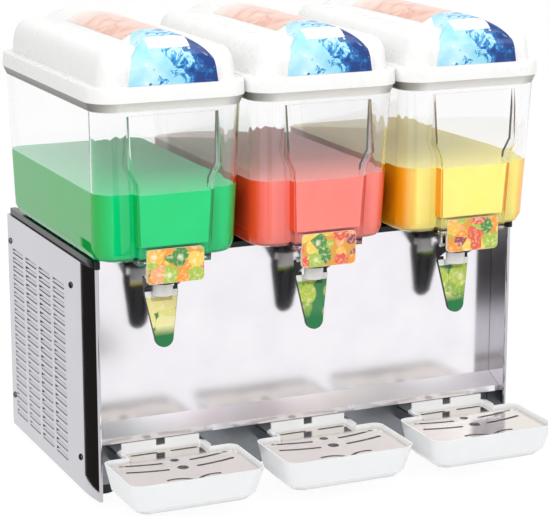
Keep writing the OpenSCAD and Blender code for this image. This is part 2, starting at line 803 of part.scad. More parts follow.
// Raised front panel of a tank as a solid: its front outline crossed with its side outline
module panel_block(t, foot) {
    top = rim_start - 5;
    inner_y = front_at(0) + 8;
    intersection() {
        along_y(-panel_out - cut, inner_y) polygon([
            [-panel_foot + t, tank_z + foot], [panel_foot - t, tank_z + foot],
            [panel_waist - t, tank_z + jog_low], [panel_half - t, tank_z + jog_top],
            [panel_half - t, tank_z + top], [-panel_half + t, tank_z + top],
            [-panel_half + t, tank_z + jog_top], [-panel_waist + t, tank_z + jog_low]
        ]);
        along_x(3 * panel_half) polygon([
            [inner_y, tank_z + foot], [-panel_foot_out + t, tank_z + foot],
            [-panel_out + t, tank_z + jog_top], [front_at(top) - 0.5 + t, tank_z + top],
            [inner_y, tank_z + top]
        ]);
    }
}

// Clear moulded tank: drafted walls, flared rim, raised front panel, drum hole and tap hole
module tank(x) {
    notch_w = cover_w + 2 * cover_fit;
    notch_top = cover_top + cover_fit;
    color([0.8, 0.9, 0.95, 0.4]) place() translate([x, 0, 0]) difference() {
        union() {
            tank_block(0);
            rim_block(0, 0);
            panel_block(0, 0);
        }
        tank_block(tank_wall);
        rim_block(tank_wall, film * 10);
        panel_block(tank_wall, notch_top - tank_z + tank_wall);
        translate([-notch_w / 2, -panel_out - cut, tank_z - cut])
            cube([notch_w, panel_out + cut + front_at(0) - 2, notch_top - tank_z + cut]);
        translate([0, drum_y, tank_z - cut]) cylinder(d = drum_d + 4, h = 4 * cut);
        translate([0, tap_y, tank_z - cut]) cylinder(d = neck_d + 0.2, h = 4 * cut);
    }
}

// Brim of a lid as a solid, over the tank's rim
module brim_block(t, top) {
    h = rim_start;
    edge = 2;
    draft = 0.8;
    half = half_at(h) + rim_flare + 0.5 - t;
    y0 = front_at(h) - rim_flare - 0.5 + t;
    y1 = back_at(h) + rim_flare + 0.5 - t;
    r = front_corner_r + rim_flare - t;
    module level(z, inset) ring(z, half - inset, y0 + inset, y1 - inset, r - inset, r - inset - 4);
    hull() {
        level(rim_z + (t > 0 ? -1 : lid_seat), 0);
        level(rim_z + top - edge, draft);
        level(rim_z + top, draft + edge);
    }
}

// Shoulders of a lid as a solid
module dome_block(t, low) {
    h = rim_start;
    half = half_at(h) + rim_flare + 0.5 - dome_inset - t;
    y0 = front_at(h) - rim_flare - 0.5 + dome_inset - 4 + t;
    y1 = back_at(h) + rim_flare + 0.5 - dome_inset - t;
    r = front_corner_r - 6 - t;
    top = rim_z + brim_h + shoulder_h - t;
    module level(z, inset)
        ring(z, half - inset, y0 + inset, y1 - inset, r - inset * 0.4, r - inset * 0.4);
    hull() {
        level(low, 0);
        level(rim_z + brim_h + 18, 1.2);
        level(top - 8, 6);
        level(top, 20);
    }
}

// Hump of a lid as a solid: a nose that sweeps up from the brim, crossed with a round crown
module hump_block(t, low) {
    front = front_at(rim_start) - rim_flare - 0.5 + 2 + t;
    back = back_at(rim_start) - 12 - t;
    top = rim_z + brim_h + hump_h - t;
    tail_r = 36;
    over = 1.5;
    function nose(a) = [front + nose_len, top - nose_h] + [nose_len * cos(a), (nose_h + over) * sin(a)];
    intersection() {
        along_x(2 * (hump_half - t)) polygon(concat(
            [[back, low], [front, low]],
            [for (a = [180:-11.25:90]) nose(a)],
            arc([back - tail_r, top + over - tail_r], tail_r, 90, 0, 4)
        ));
        translate([0, (front + back) / 2, top + t - crown_r]) rotate([90, 0, 0])
            cylinder(r = crown_r - t, h = 2 * tank_len, center = true, $fn = 128);
    }
}

// Locating lip of a lid as a solid, inside the tank's rim
module lip_block(t, low, high) {
    h = rim_start;
    gap = 1.2;
    half = half_at(h) - tank_wall - gap - t;
    y0 = front_at(h) + tank_wall + gap + t;
    y1 = back_at(h) - tank_wall - gap - t;
    r = front_corner_r - tank_wall - gap - t;
    draft = 0.5;
    hull() {
        ring(low, half - draft, y0 + draft, y1 - draft, r, r);
        ring(high, half, y0, y1, r, r);
    }
}

// Moulded lid: brim on the tank's rim, locating lip, shoulders and central hump
module lid(x) {
    lip_t = 2;
    lip_top = rim_z + brim_h - lid_wall / 2;
    color("white") place() translate([x, 0, 0]) {
        difference() {
            union() {
                brim_block(0, brim_h);
                dome_block(0, rim_z + brim_h - lid_wall);
                hump_block(0, rim_z + brim_h - lid_wall);
            }
            brim_block(lid_wall, brim_h - lid_wall);
            dome_block(lid_wall, rim_z + brim_h / 2);
            hump_block(lid_wall, rim_z + brim_h / 2);
        }
        difference() {
            lip_block(0, rim_z - lid_lip, lip_top);
            lip_block(lip_t, rim_z - lid_lip - 1, lip_top + 1);
        }
    }
}

// Black tap barrel under the tank's floor, with its neck, valve seat, lug slots and pin block
module tap_body(x) {
    flange_d = barrel_d + 10;
    block_w = barrel_d;
    slot_low = lug_z - lug_d / 2 - 1;
    slot_top = lug_z + lug_d / 2 + plunger_lift + 1;
    color([0.07, 0.07, 0.08]) place() translate([x, tap_y, 0]) difference() {
        union() {
            translate([0, 0, tank_z - 3]) cylinder(d = flange_d, h = 3);
            translate([0, 0, mouth_z]) cylinder(d = barrel_d, h = tank_z - mouth_z);
            translate([0, 0, tank_z - 1]) cylinder(d = neck_d, h = seat_z - tank_z + 1);
            translate([-block_w / 2, -lever_arm - 5, mouth_z + 5])
                cube([block_w, lever_arm + 5, tank_z - mouth_z - 8]);
        }
        translate([0, 0, mouth_z - cut]) cylinder(d = barrel_bore, h = spring_high - mouth_z + cut);
        translate([0, 0, mouth_z]) cylinder(d = seat_bore, h = seat_z - mouth_z + cut);
        translate([-barrel_d, -lug_d / 2 - 0.5, slot_low])
            cube([2 * barrel_d, lug_d + 1, slot_top - slot_low]);
        translate([0, -lever_arm, pin_z]) rotate([0, 90, 0])
            cylinder(d = pin_d + 2 * run_fit, h = 3 * barrel_d, center = true);
    }
}

// Front cover of a tap, plugged into the notch of the tank's raised panel
module tap_cover(x) {
    front = -panel_foot_out - 0.5;
    plug_low = tank_z + 2;
    plug_high = cover_top - 2;
    plug_w = cover_w - 8;
    color([0.95, 0.75, 0.45]) place() translate([x, 0, 0]) {
        translate([0, 0, cover_top - cover_h / 2]) along_y(front, front + cover_t)
            round_rect(cover_w, cover_h, 6);
        difference() {
            translate([-plug_w / 2, front + cover_t - 1, plug_low])
                cube([plug_w, front_at(0) - 2.5 - front - cover_t + 1, plug_high - plug_low]);
            translate([-plug_w / 2 + 2, front + cover_t, plug_low + 2])
                cube([plug_w - 4, panel_out, plug_high - plug_low - 4]);
        }
    }
}

// White spout pushed into the mouth of the tap barrel
module spout(x) {
    r = spout_d / 2;
    bore_r = collar_d / 2 + 0.5;
    spigot_r = barrel_bore / 2 - run_fit;
    spigot_top = mouth_z + 3;
    low = mouth_z - spout_len;
    color("white") place() translate([x, tap_y, 0]) rotate_extrude() polygon([
        [bore_r, low], [r - 0.5, low], [r, low + 2], [r, mouth_z],
        [spigot_r, mouth_z], [spigot_r, spigot_top], [bore_r, spigot_top]
    ]);
}

// Valve plunger: sealing head in the tank, stem, spring collar and two lifting lugs
module plunger(x) {
    head_d = neck_d - 2;
    color("white") place() translate([x, tap_y, 0]) {
        translate([0, 0, seat_z]) rotate_extrude()
            polygon([[0, 0], [head_d / 2, 0], [head_d / 2, 2], [head_d / 2 - 3, 5], [0, 6]]);
        translate([0, 0, lug_z]) cylinder(d = stem_d, h = seat_z - lug_z + 1);
        translate([0, 0, lug_z - collar_t / 2]) cylinder(d = collar_d, h = collar_t);
        translate([0, 0, lug_z]) rotate([0, 90, 0]) cylinder(d = lug_d, h = lever_w + 2, center = true);
    }
}

// Points and faces of the plunger's spring: a six-sided wire swept along a helix
spring_steps = 8;
spring_sides = 6;
spring_r = (collar_d - spring_wire) / 2 - 0.3;
spring_rise = spring_high - spring_low - spring_wire - 0.2;
spring_rings = spring_turns * spring_steps;
function wire_point(i, j) =
    let(a = i * 360 / spring_steps, b = j * 360 / spring_sides)
    let(w = spring_wire / 2, r = spring_r + w * cos(b))
    [r * cos(a), r * sin(a), spring_low + 0.1 + w + spring_rise * i / spring_rings + w * sin(b)];
wire_points = [for (i = [0:spring_rings]) for (j = [0:spring_sides - 1]) wire_point(i, j)];
wire_faces = concat(
    [for (i = [0:spring_rings - 1]) for (j = [0:spring_sides - 1])
        let(a = i * spring_sides + j, b = i * spring_sides + (j + 1) % spring_sides)
        each [[a, a + spring_sides, b], [b, a + spring_sides, b + spring_sides]]],
    [for (j = [1:spring_sides - 2]) [0, j, j + 1]],
    [for (j = [1:spring_sides - 2]) let(e = spring_rings * spring_sides) [e, e + j + 1, e + j]]
);
coil_gap = min([
    for (i = [0:spring_rings - spring_steps]) for (j = [0:spring_sides - 1]) for (k = [0:spring_sides - 1])
        norm(wire_point(i + spring_steps, j) - wire_point(i, k))
]);
echo(spring_least_gap = coil_gap);

// Compression spring that shuts the plunger
module spring(x) color("silver") place() translate([x, tap_y, 0]) polyhedron(wire_points, wire_faces);

// Push lever: a fork on the pin, under the plunger's lugs, and a leaning paddle that straddles the spout
module lever(x) {
    boss_r = pin_d / 2 + 3.5;
    lift_z = lug_z - lug_d / 2 - lever_gap - pin_z;
    arm_t = lever_w / 2 - arm_in;
    back = lever_arm + 12;
    tip_r = lever_tip_w / 2;
    straight = 22;
    rib_x = 7;
    notch_half = spout_d / 2 + lever_slit;
    notch_low = spout_len + 15;
    shoulder = spout_len - 1;
    deep = 4 * paddle_t;
    color([0.92, 0.94, 0.9]) place() translate([x, pin_y, pin_z]) {
        difference() {
            for (s = [-1, 1]) translate([s * (arm_in + arm_t / 2), 0, 0]) along_x(arm_t) {
                circle(boss_r);
                polygon([
                    [-boss_r, 0], [boss_r, lift_z], [back, lift_z], [back + 0.5, lift_z - 6],
                    [back - 5, lift_z - 14], [lever_arm, lift_z - 10], [-boss_r * 0.7, -boss_r * 0.7]
                ]);
            }
            rotate([0, 90, 0]) cylinder(d = pin_d + 2 * run_fit, h = 2 * lever_w, center = true);
        }
        translate([0, back + 1, lift_z]) rotate([-paddle_lean, 0, 0]) difference() {
            union() {
                along_y(-paddle_t, 0) {
                    polygon([
                        [-lever_w / 2, 0], [-lever_w / 2, -straight], [-tip_r, -paddle_len + tip_r],
                        [tip_r, -paddle_len + tip_r], [lever_w / 2, -straight], [lever_w / 2, 0]
                    ]);
                    translate([0, -paddle_len + tip_r]) circle(tip_r);
                }
                for (s = [-1, 1]) translate([s * rib_x, 1, -paddle_len / 2])
                    cube([2, 4, paddle_len * 0.7], center = true);
            }
            translate([-arm_in, -deep / 2, -shoulder]) cube([2 * arm_in, deep, shoulder + cut]);
            translate([-notch_half, -deep / 2, -notch_low]) cube([2 * notch_half, deep, notch_low + cut]);
        }
    }
}

// Steel pin that carries a lever
module lever_pin(x) {
    head_t = 1.2;
    color("silver") place() translate([x, pin_y, pin_z]) rotate([0, 90, 0]) {
        cylinder(d = pin_d, h = lever_w + 0.8, center = true);
        for (s = [-1, 1]) translate([0, 0, s * (lever_w / 2 + 0.4 + head_t / 2)])
            cylinder(d = pin_d + 3, h = head_t, center = true);
    }
}

// Basin of a drip tray as a solid
module basin_block(t) {
    z1 = tray_rim_z + (t > 0 ? film * 10 : 0);
    half = tray_w / 2 - t;
    front = -tray_out + t;
    back = tray_back - t;
    low = tray_floor + t;
    r = 18 - t;
    edge = tray_taper + 9;
    hull() {
        ring(z1, half, front, back, r, r - 6);
        ring(low + 9, half - tray_taper, front + tray_taper, back - 3, r, r - 6);
        ring(low, half - edge, front + edge, back - 12, r - 4, r - 8);
        ring(low - belly, half - edge - 31, front + 34, back - 34, r - 4, r - 4);
    }
}

// Neck of a drip tray as a solid, running back under the shelf's lip
module neck_block(t) {
    z1 = tray_rim_z + (t > 0 ? film * 10 : 0);
    front = tray_back - 14;
    hull() {
        ring(z1, neck_half - t, front, neck_back - t, 4 - t, 5 - t);
        ring(tray_rim_z - 20 + t, neck_half - 3 - t, front, neck_back - 3 - t, 4 - t, 5 - t);
    }
}

// White drip tray: basin with a belly, neck with ears on the rails, stop tabs and posts for the grate
module drip_tray(x) {
    tab_t = 2.5;
    ear = 5;
    tab_top = shelf_front_z - shelf_lip - 1;
    post = 7;
    color("white") place() translate([x, 0, 0]) {
        difference() {
            union() {
                basin_block(0);
                neck_block(0);
                for (s = [-1, 1]) translate([s * (neck_half - 2 + ear / 2) - ear / 2, tray_back + 7, rail_z])
                    cube([ear, neck_back - 5 - tray_back - 7, tray_rim_z - rail_z]);
            }
            basin_block(tray_wall);
            neck_block(tray_wall);
        }
        for (s = [-1, 1]) translate([s > 0 ? 6 : -6 - tab_w, neck_back - tab_t, tray_rim_z - 6])
            cube([tab_w, tab_t, tab_top - tray_rim_z + 6]);
        for (s = [-1, 1]) for (y = [-tray_out + 24, tray_back - 17])
            translate([s * (tray_w / 2 - 21) - post / 2, y - post / 2, tray_floor + 1])
                cube([post, post, grate_z - tray_floor - 1]);
    }
}

// Curved slot between two angles on a circle, with eased round ends
module arc_slot(r, w, a, b) {
    ease = 0.3;
    intersection() {
        difference() {
            circle(r + w / 2, $fn = 128);
            circle(r - w / 2, $fn = 128);
        }
        polygon([[0, 0], 2 * r * turn(a), 2 * r * turn((a + b) / 2), 2 * r * turn(b)]);
    }
    for (q = [a, b]) rotate(q) translate([r, 0]) circle(w / 2 + ease, $fn = 32);
}

// Stainless grate with curved slots, drain holes and a slotted tongue over the tray's neck
module grate(x) {
    sink = grate_sink + grate_t;
    slope = tray_taper * sink / (tray_depth - 9);
    half = tray_w / 2 - tray_wall - slope - grate_gap;
    front = -tray_out + tray_wall + slope + grate_gap;
    back = tray_back - tray_wall - slope - grate_gap;
    tongue = neck_half - tray_wall - 1 - grate_gap;
    tongue_back = neck_back - tray_wall - 1.5 - grate_gap;
    mid = (front + back) / 2;
    sweep_r = 230;
    color("silver") place() translate([x, 0, grate_z]) linear_extrude(grate_t) difference() {
        union() {
            translate([0, mid]) round_rect(2 * half, back - front, 14);
            translate([-tongue, back - 20]) square([2 * tongue, tongue_back - back + 20]);
        }
        for (s = [0, 1]) mirror([s, 0]) {
            for (y = [mid + 4, mid + 28]) translate([0, y + sweep_r])
                arc_slot(sweep_r, 5, -90 + 5, -90 + 17);
            translate([25, mid - 57]) arc_slot(28, 4.5, 75, 140);
            translate([tongue / 2 + 1, tongue_back - 9]) round_rect(36, 5, 2.4);
        }
        translate([0, mid + 6]) circle(7);
        translate([0, mid + 34]) circle(5.5);
    }
}

base_pan();
left_side_panel();
right_side_panel();
front_panel();
rear_panel();
top_deck();
feet();
panel_screws();
tank_seals();
compressor();
condenser();
fan_motor();
fan_blade();
power_inlet();
switch_housings();
cooling_switch();
stirring_switch();
thermostat_knob();
evaporators();
stir_motors();
drive_magnet(-tank_pitch);  // drive_magnet_left
drive_magnet(0);  // drive_magnet_centre
drive_magnet(tank_pitch);  // drive_magnet_right
stirrer(-tank_pitch);  // stirrer_left
stirrer(0);  // stirrer_centre
stirrer(tank_pitch);  // stirrer_right
tank(-tank_pitch);  // tank_left
tank(0);  // tank_centre
tank(tank_pitch);  // tank_right
lid(-tank_pitch);  // lid_left
lid(0);  // lid_centre
lid(tank_pitch);  // lid_right
tap_body(-tank_pitch);  // tap_body_left
tap_body(0);  // tap_body_centre
tap_body(tank_pitch);  // tap_body_right
spout(-tank_pitch);  // spout_left
spout(0);  // spout_centre
spout(tank_pitch);  // spout_right
tap_cover(-tank_pitch);  // tap_cover_left
tap_cover(0);  // tap_cover_centre
tap_cover(tank_pitch);  // tap_cover_right
plunger(-tank_pitch);  // plunger_left
plunger(0);  // plunger_centre
plunger(tank_pitch);  // plunger_right
spring(-tank_pitch);  // spring_left
spring(0);  // spring_centre
spring(tank_pitch);  // spring_right
lever(-tank_pitch);  // lever_left
lever(0);  // lever_centre
lever(tank_pitch);  // lever_right
lever_pin(-tank_pitch);  // lever_pin_left
lever_pin(0);  // lever_pin_centre
lever_pin(tank_pitch);  // lever_pin_right
drip_tray(-tank_pitch);  // drip_tray_left
drip_tray(0);  // drip_tray_centre
drip_tray(tank_pitch);  // drip_tray_right
grate(-tank_pitch);  // grate_left
grate(0);  // grate_centre
grate(tank_pitch);  // grate_right
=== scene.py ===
import math

import bmesh
import bpy
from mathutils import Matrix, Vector


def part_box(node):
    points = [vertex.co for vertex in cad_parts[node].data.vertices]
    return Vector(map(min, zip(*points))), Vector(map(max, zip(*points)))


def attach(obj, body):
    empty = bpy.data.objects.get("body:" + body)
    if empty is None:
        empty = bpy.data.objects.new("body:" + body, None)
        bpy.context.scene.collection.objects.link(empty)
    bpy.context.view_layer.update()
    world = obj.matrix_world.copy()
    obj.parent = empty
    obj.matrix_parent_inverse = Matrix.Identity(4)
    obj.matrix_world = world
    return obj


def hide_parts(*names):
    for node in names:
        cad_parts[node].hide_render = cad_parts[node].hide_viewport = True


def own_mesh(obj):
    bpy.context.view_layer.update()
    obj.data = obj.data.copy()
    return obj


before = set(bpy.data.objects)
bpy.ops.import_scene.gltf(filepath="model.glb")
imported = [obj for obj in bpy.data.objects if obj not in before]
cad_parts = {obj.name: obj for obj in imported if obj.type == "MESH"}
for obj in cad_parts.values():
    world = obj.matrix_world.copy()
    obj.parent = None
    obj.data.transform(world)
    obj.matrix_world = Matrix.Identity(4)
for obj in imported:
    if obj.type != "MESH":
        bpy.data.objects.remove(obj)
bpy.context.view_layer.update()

# Camera: a long lens well back from the counter, to the left of the machine and a little
# above its lids, so that the upright edges stay almost upright.


def put(name, data):
    """Puts data in the scene as a new object."""
    made = bpy.data.objects.new(name, data)
    bpy.context.scene.collection.objects.link(made)
    return made


photo_lens = bpy.data.cameras.new("photo_lens")
photo_lens.sensor_width = 36
photo_lens.lens = 134.0
camera = put("photo_camera", photo_lens)
camera.location = (-1.04666, -2.33365, 0.88452)
camera.rotation_euler = (math.radians(76.338), 0, math.radians(-24.099))
bpy.context.scene.camera = camera
bpy.context.scene.view_settings.view_transform = "Standard"

# Cabinet floor: a tray of zinc-coated sheet steel, folded up at its edges, with the kick
# plate in front and the rails that the drip trays hang on. Everything else is screwed to it.


def linear(colour):
    """An sRGB hex colour as linear red, green, blue and alpha."""
    parts = [int(colour[i:i + 2], 16) / 255 for i in (1, 3, 5)]
    return (*(c / 12.92 if c <= 0.04045 else ((c + 0.055) / 1.055) ** 2.4 for c in parts), 1)


def add(tree, kind, links=None, **settings):
    """Adds a node with its settings. links gives an input another node's socket, or a value."""
    node = tree.nodes.new(kind)
    for name, value in settings.items():
        setattr(node, name, value)
    for name, value in (links or {}).items():
        if isinstance(value, bpy.types.NodeSocket):
            tree.links.new(value, node.inputs[name])
        else:
            node.inputs[name].default_value = value
    return node


def finish(name, colour, **constants):
    """A new material of one shader, with the values that are the same all over it."""
    made = bpy.data.materials.new(name)
    made.use_nodes = True
    shader = made.node_tree.nodes["Principled BSDF"]
    shader.inputs["Base Color"].default_value = linear(colour)
    for socket, value in constants.items():
        shader.inputs[socket.replace("_", " ")].default_value = value
    return made, made.node_tree, shader


def dress(material, *nodes):
    """Gives CAD nodes a finish."""
    for node in nodes:
        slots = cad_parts[node].data.materials
        slots.clear()
        slots.append(material)


# Zinc coating leaves crystals about 9 mm across, each a slightly different dull grey.
spangle_size = 0.009
zinc, tree, shader = finish("zinc_coated_steel_spangled", "#85888c", Metallic=1.0)
place = add(tree, "ShaderNodeTexCoord").outputs["Object"]
spangle = add(tree, "ShaderNodeTexVoronoi", {"Vector": place, "Scale": 1 / spangle_size})
shade = add(tree, "ShaderNodeSeparateColor", {"Color": spangle.outputs["Color"]}).outputs["Red"]
grey = add(tree, "ShaderNodeMix", {0: shade, 6: linear("#828589"), 7: linear("#888b8f")},
           data_type="RGBA")
tree.links.new(grey.outputs[2], shader.inputs["Base Color"])
dull = add(tree, "ShaderNodeMapRange", {"Value": shade, "To Min": 0.3, "To Max": 0.34})
tree.links.new(dull.outputs["Result"], shader.inputs["Roughness"])
dress(zinc, "base_pan")

# Side panels: pressed stainless sheet with four columns of louvres, rolled round at the
# front edge into a fin that hides the ends of the front panel.


def polished_sheet(name, colour, shadow, rough, lay):
    """Metal sheet with polishing lines and faint clouds. rough is its least and most
    roughness, and lay shrinks the axis that the lines run along."""
    # lines 0.4 mm apart are too fine to show, so they are drawn about 1.2 mm apart
    line_gap, cloud_size = 0.0012, 0.09
    made, tree, shader = finish(name, colour, Metallic=1.0)
    place = add(tree, "ShaderNodeTexCoord").outputs["Object"]
    fine = add(tree, "ShaderNodeMapping", {"Vector": place, "Scale": lay})
    lines = add(tree, "ShaderNodeTexNoise",
                {"Vector": fine.outputs[0], "Scale": 1 / line_gap, "Detail": 3})
    cloud = add(tree, "ShaderNodeTexNoise",
                {"Vector": place, "Scale": 1 / cloud_size, "Detail": 2})
    mix = add(tree, "ShaderNodeMath", {0: lines.outputs[0], 1: cloud.outputs[0]},
              operation="MULTIPLY")
    tint = add(tree, "ShaderNodeMix",
               {0: mix.outputs[0], 6: linear(shadow), 7: linear(colour)}, data_type="RGBA")
    tree.links.new(tint.outputs[2], shader.inputs["Base Color"])
    gloss = add(tree, "ShaderNodeMapRange", {"Value": lines.outputs[0], "From Min": 0.3,
                                             "From Max": 0.7, "To Min": rough[0],
                                             "To Max": rough[1]})
    tree.links.new(gloss.outputs["Result"], shader.inputs["Roughness"])
    return made


# A bright polish that mirrors in sharp bands, with the faint lines of the polishing belt.
side_steel = polished_sheet("stainless_steel_belt_polished", "#d3d1d6", "#bcbac0",
                            rough=(0.05, 0.1), lay=(1, 1, 0.03))
dress(side_steel, "left_side_panel", "right_side_panel")

# Panel screws: dome-head machine screws of plated steel, with a cross recess for the
# driver. The heads are one shape, set on each screw's place and turned to its axis.
head_width, head_height, recess_width = 0.009, 0.0026, 0.0011
# points of a CAD mesh closer than this are one point
weld = 2e-6


def laid_in(node):
    """The loose parts of a CAD node in order: each one's lowest and highest corner."""
    work = bmesh.new()
    work.from_mesh(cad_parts[node].data)
    bmesh.ops.remove_doubles(work, verts=work.verts, dist=weld)
    left = set(work.verts)
    found = []
    while left:
        front = [left.pop()]
        part = list(front)
        while front:
            near = {e.other_vert(v) for v in front for e in v.link_edges} & left
            left -= near
            front = list(near)
            part += front
        found.append([Vector(pick(v.co[i] for v in part) for i in range(3)) for pick in (min, max)])
    work.free()
    return sorted(found, key=lambda corners: corners[0][:])


def new_piece(name, mesh, body, material=None, replaces=()):
    """Puts a finished mesh in the scene on the body that carries it."""
    made = put(name, mesh)
    if material:
        mesh.materials.clear()
        mesh.materials.append(material)
    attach(made, body)
    if replaces:
        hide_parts(*replaces)
    return made


def settled(made):
    """The plain mesh that an object's modifiers leave. The object is removed."""
    seen = made.evaluated_get(bpy.context.evaluated_depsgraph_get())
    mesh = bpy.data.meshes.new_from_object(seen)
    made.modifiers.clear()
    bpy.data.objects.remove(made)
    return mesh


def grown(name, points, group, **sizes):
    """Runs a Geometry Nodes group over points (place, direction) and returns the plain mesh."""
    seed = bpy.data.meshes.new(name + "_places")
    seed.from_pydata([p for p, d in points], [], [])
    aim = seed.attributes.new("aim", "FLOAT_VECTOR", "POINT")
    aim.data.foreach_set("vector", [c for p, d in points for c in d])
    carrier = put(name + "_places", seed)
    modifier = carrier.modifiers.new("grow", "NODES")
    modifier.node_group = group
    for item in group.interface.items_tree:
        if item.item_type == "SOCKET" and item.in_out == "INPUT" and item.name in sizes:
            modifier[item.identifier] = sizes[item.name]
    mesh = settled(carrier)
    mesh.name = name
    return mesh


# Bright plating over a rolled head: a hard small highlight, with the recess in shade.
scuff_size = 0.0015
screw_plate, tree, shader = finish("plated_steel_screw_rolled", "#6a686a", Metallic=1.0)
place = add(tree, "ShaderNodeTexCoord").outputs["Object"]
scuff = add(tree, "ShaderNodeTexNoise", {"Vector": place, "Scale": 1 / scuff_size, "Detail": 4})
gloss = add(tree, "ShaderNodeMapRange", {"Value": scuff.outputs[0], "To Min": 0.12, "To Max": 0.38})
tree.links.new(gloss.outputs["Result"], shader.inputs["Roughness"])
worn = add(tree, "ShaderNodeMix",
           {0: scuff.outputs[0], 6: linear("#3d3b3e"), 7: linear("#807e80")}, data_type="RGBA")
tree.links.new(worn.outputs[2], shader.inputs["Base Color"])

group = bpy.data.node_groups.new("screw_heads", "GeometryNodeTree")
group.interface.new_socket("Places", in_out="INPUT", socket_type="NodeSocketGeometry")
for label in ("Head width", "Head height", "Recess width"):
    group.interface.new_socket(label, in_out="INPUT", socket_type="NodeSocketFloat")
group.interface.new_socket("Screws", in_out="OUTPUT", socket_type="NodeSocketGeometry")
given = add(group, "NodeGroupInput").outputs
half = add(group, "ShaderNodeMath", {0: given["Head width"], 1: 0.5}, operation="MULTIPLY").outputs[0]
# the head is a ball squeezed to the head's height, and its lower half lies in the panel
ball = add(group, "GeometryNodeMeshUVSphere", {"Segments": 28, "Rings": 16, "Radius": 1.0})
squeeze = add(group, "ShaderNodeCombineXYZ", {"X": half, "Y": half, "Z": given["Head height"]})
dome = add(group, "GeometryNodeTransform",
           {"Geometry": ball.outputs["Mesh"], "Scale": squeeze.outputs[0]})
# two crossed bars are cut out of the top
cut = add(group, "GeometryNodeMeshBoolean", {"Mesh 1": dome.outputs[0]}, operation="DIFFERENCE",
          solver="EXACT")
lift = add(group, "ShaderNodeCombineXYZ", {"Z": given["Head height"]})
for along, across in ((half, given["Recess width"]), (given["Recess width"], half)):
    span = add(group, "ShaderNodeCombineXYZ", {"X": along, "Y": across, "Z": given["Head height"]})
    bar = add(group, "GeometryNodeMeshCube", {"Size": span.outputs[0]})
    raised = add(group, "GeometryNodeTransform",
                 {"Geometry": bar.outputs["Mesh"], "Translation": lift.outputs[0]})
    group.links.new(raised.outputs[0], cut.inputs["Mesh 2"])
aim = add(group, "GeometryNodeInputNamedAttribute", {"Name": "aim"}, data_type="FLOAT_VECTOR")
turned = add(group, "FunctionNodeAlignRotationToVector", {"Vector": aim.outputs["Attribute"]}, axis="Z")
dots = add(group, "GeometryNodeMeshToPoints", {"Mesh": given["Places"]})
set_on = add(group, "GeometryNodeInstanceOnPoints",
             {"Points": dots.outputs[0], "Instance": cut.outputs[0], "Rotation": turned.outputs[0]})
real = add(group, "GeometryNodeRealizeInstances", {"Geometry": set_on.outputs[0]})
coat = add(group, "GeometryNodeSetMaterial", {"Geometry": real.outputs[0], "Material": screw_plate})
add(group, "NodeGroupOutput", {"Screws": coat.outputs[0]})

heads = []
for low, high in laid_in("panel_screws"):
    outward = 1 if low.x + high.x > 0 else -1
    seat_x = outward * (max(abs(low.x), abs(high.x)) - head_height)
    heads.append(((seat_x, (low.y + high.y) / 2, (low.z + high.z) / 2), (outward, 0, 0)))
screw_heads = grown("panel_screw_heads", heads, group, **{
    "Head width": head_width, "Head height": head_height, "Recess width": recess_width})
for face in screw_heads.polygons:
    face.use_smooth = True
new_piece("panel_screw_heads", screw_heads, "cabinet", replaces=["panel_screws"])

# Front panel: one sheet of bright stainless, folded forward at the foot into the sloping
# shelf over the drip trays. It mirrors the levers close to it and blurs what stands further off.
haze_size, wave_length = 0.05, 0.12
mirror_steel, tree, shader = finish("stainless_steel_bright_annealed", "#f1eff3", Metallic=1.0)
place = add(tree, "ShaderNodeTexCoord").outputs["Object"]
haze = add(tree, "ShaderNodeTexNoise", {"Vector": place, "Scale": 1 / haze_size, "Detail": 3})
gloss = add(tree, "ShaderNodeMapRange", {"Value": haze.outputs[0], "To Min": 0.12, "To Max": 0.16})
# the shelf is wiped down daily, and its scratches make it duller than the upright panel
normal = add(tree, "ShaderNodeNewGeometry").outputs["Normal"]
upward = add(tree, "ShaderNodeSeparateXYZ", {"Vector": normal}).outputs["Z"]
wiped = add(tree, "ShaderNodeMapRange",
            {"Value": upward, "From Min": 0.5, "From Max": 0.7, "To Max": 0.28})
gloss = add(tree, "ShaderNodeMath", {0: gloss.outputs["Result"], 1: wiped.outputs["Result"]},
            operation="ADD")
tree.links.new(gloss.outputs[0], shader.inputs["Roughness"])
# thin sheet is never quite flat: waves about 120 mm long bend the mirror image a little
wave = add(tree, "ShaderNodeTexNoise", {"Vector": place, "Scale": 1 / wave_length, "Detail": 0})
bend = add(tree, "ShaderNodeBump", {"Height": wave.outputs[0], "Strength": 0.06, "Distance": 0.004})
tree.links.new(bend.outputs[0], shader.inputs["Normal"])
pale = add(tree, "ShaderNodeMix",
           {0: haze.outputs[0], 6: linear("#e6e4e9"), 7: linear("#f6f4f7")}, data_type="RGBA")
tree.links.new(pale.outputs[2], shader.inputs["Base Color"])
dress(mirror_steel, "front_panel")

# Rear panel: plainer stainless sheet with rows of air slots, screwed in behind the fan.
# Its mill finish is duller, with rolling lines along its width.
rear_steel = polished_sheet("stainless_steel_mill_finish", "#c9c8cb", "#a3a2a6",
                            rough=(0.26, 0.4), lay=(0.03, 1, 1))
dress(rear_steel, "rear_panel")

# Deck: the black vacuum-formed tray that the tanks stand on, with a raised rail along each
# side. Glossy, with the faint orange peel that formed sheet has.


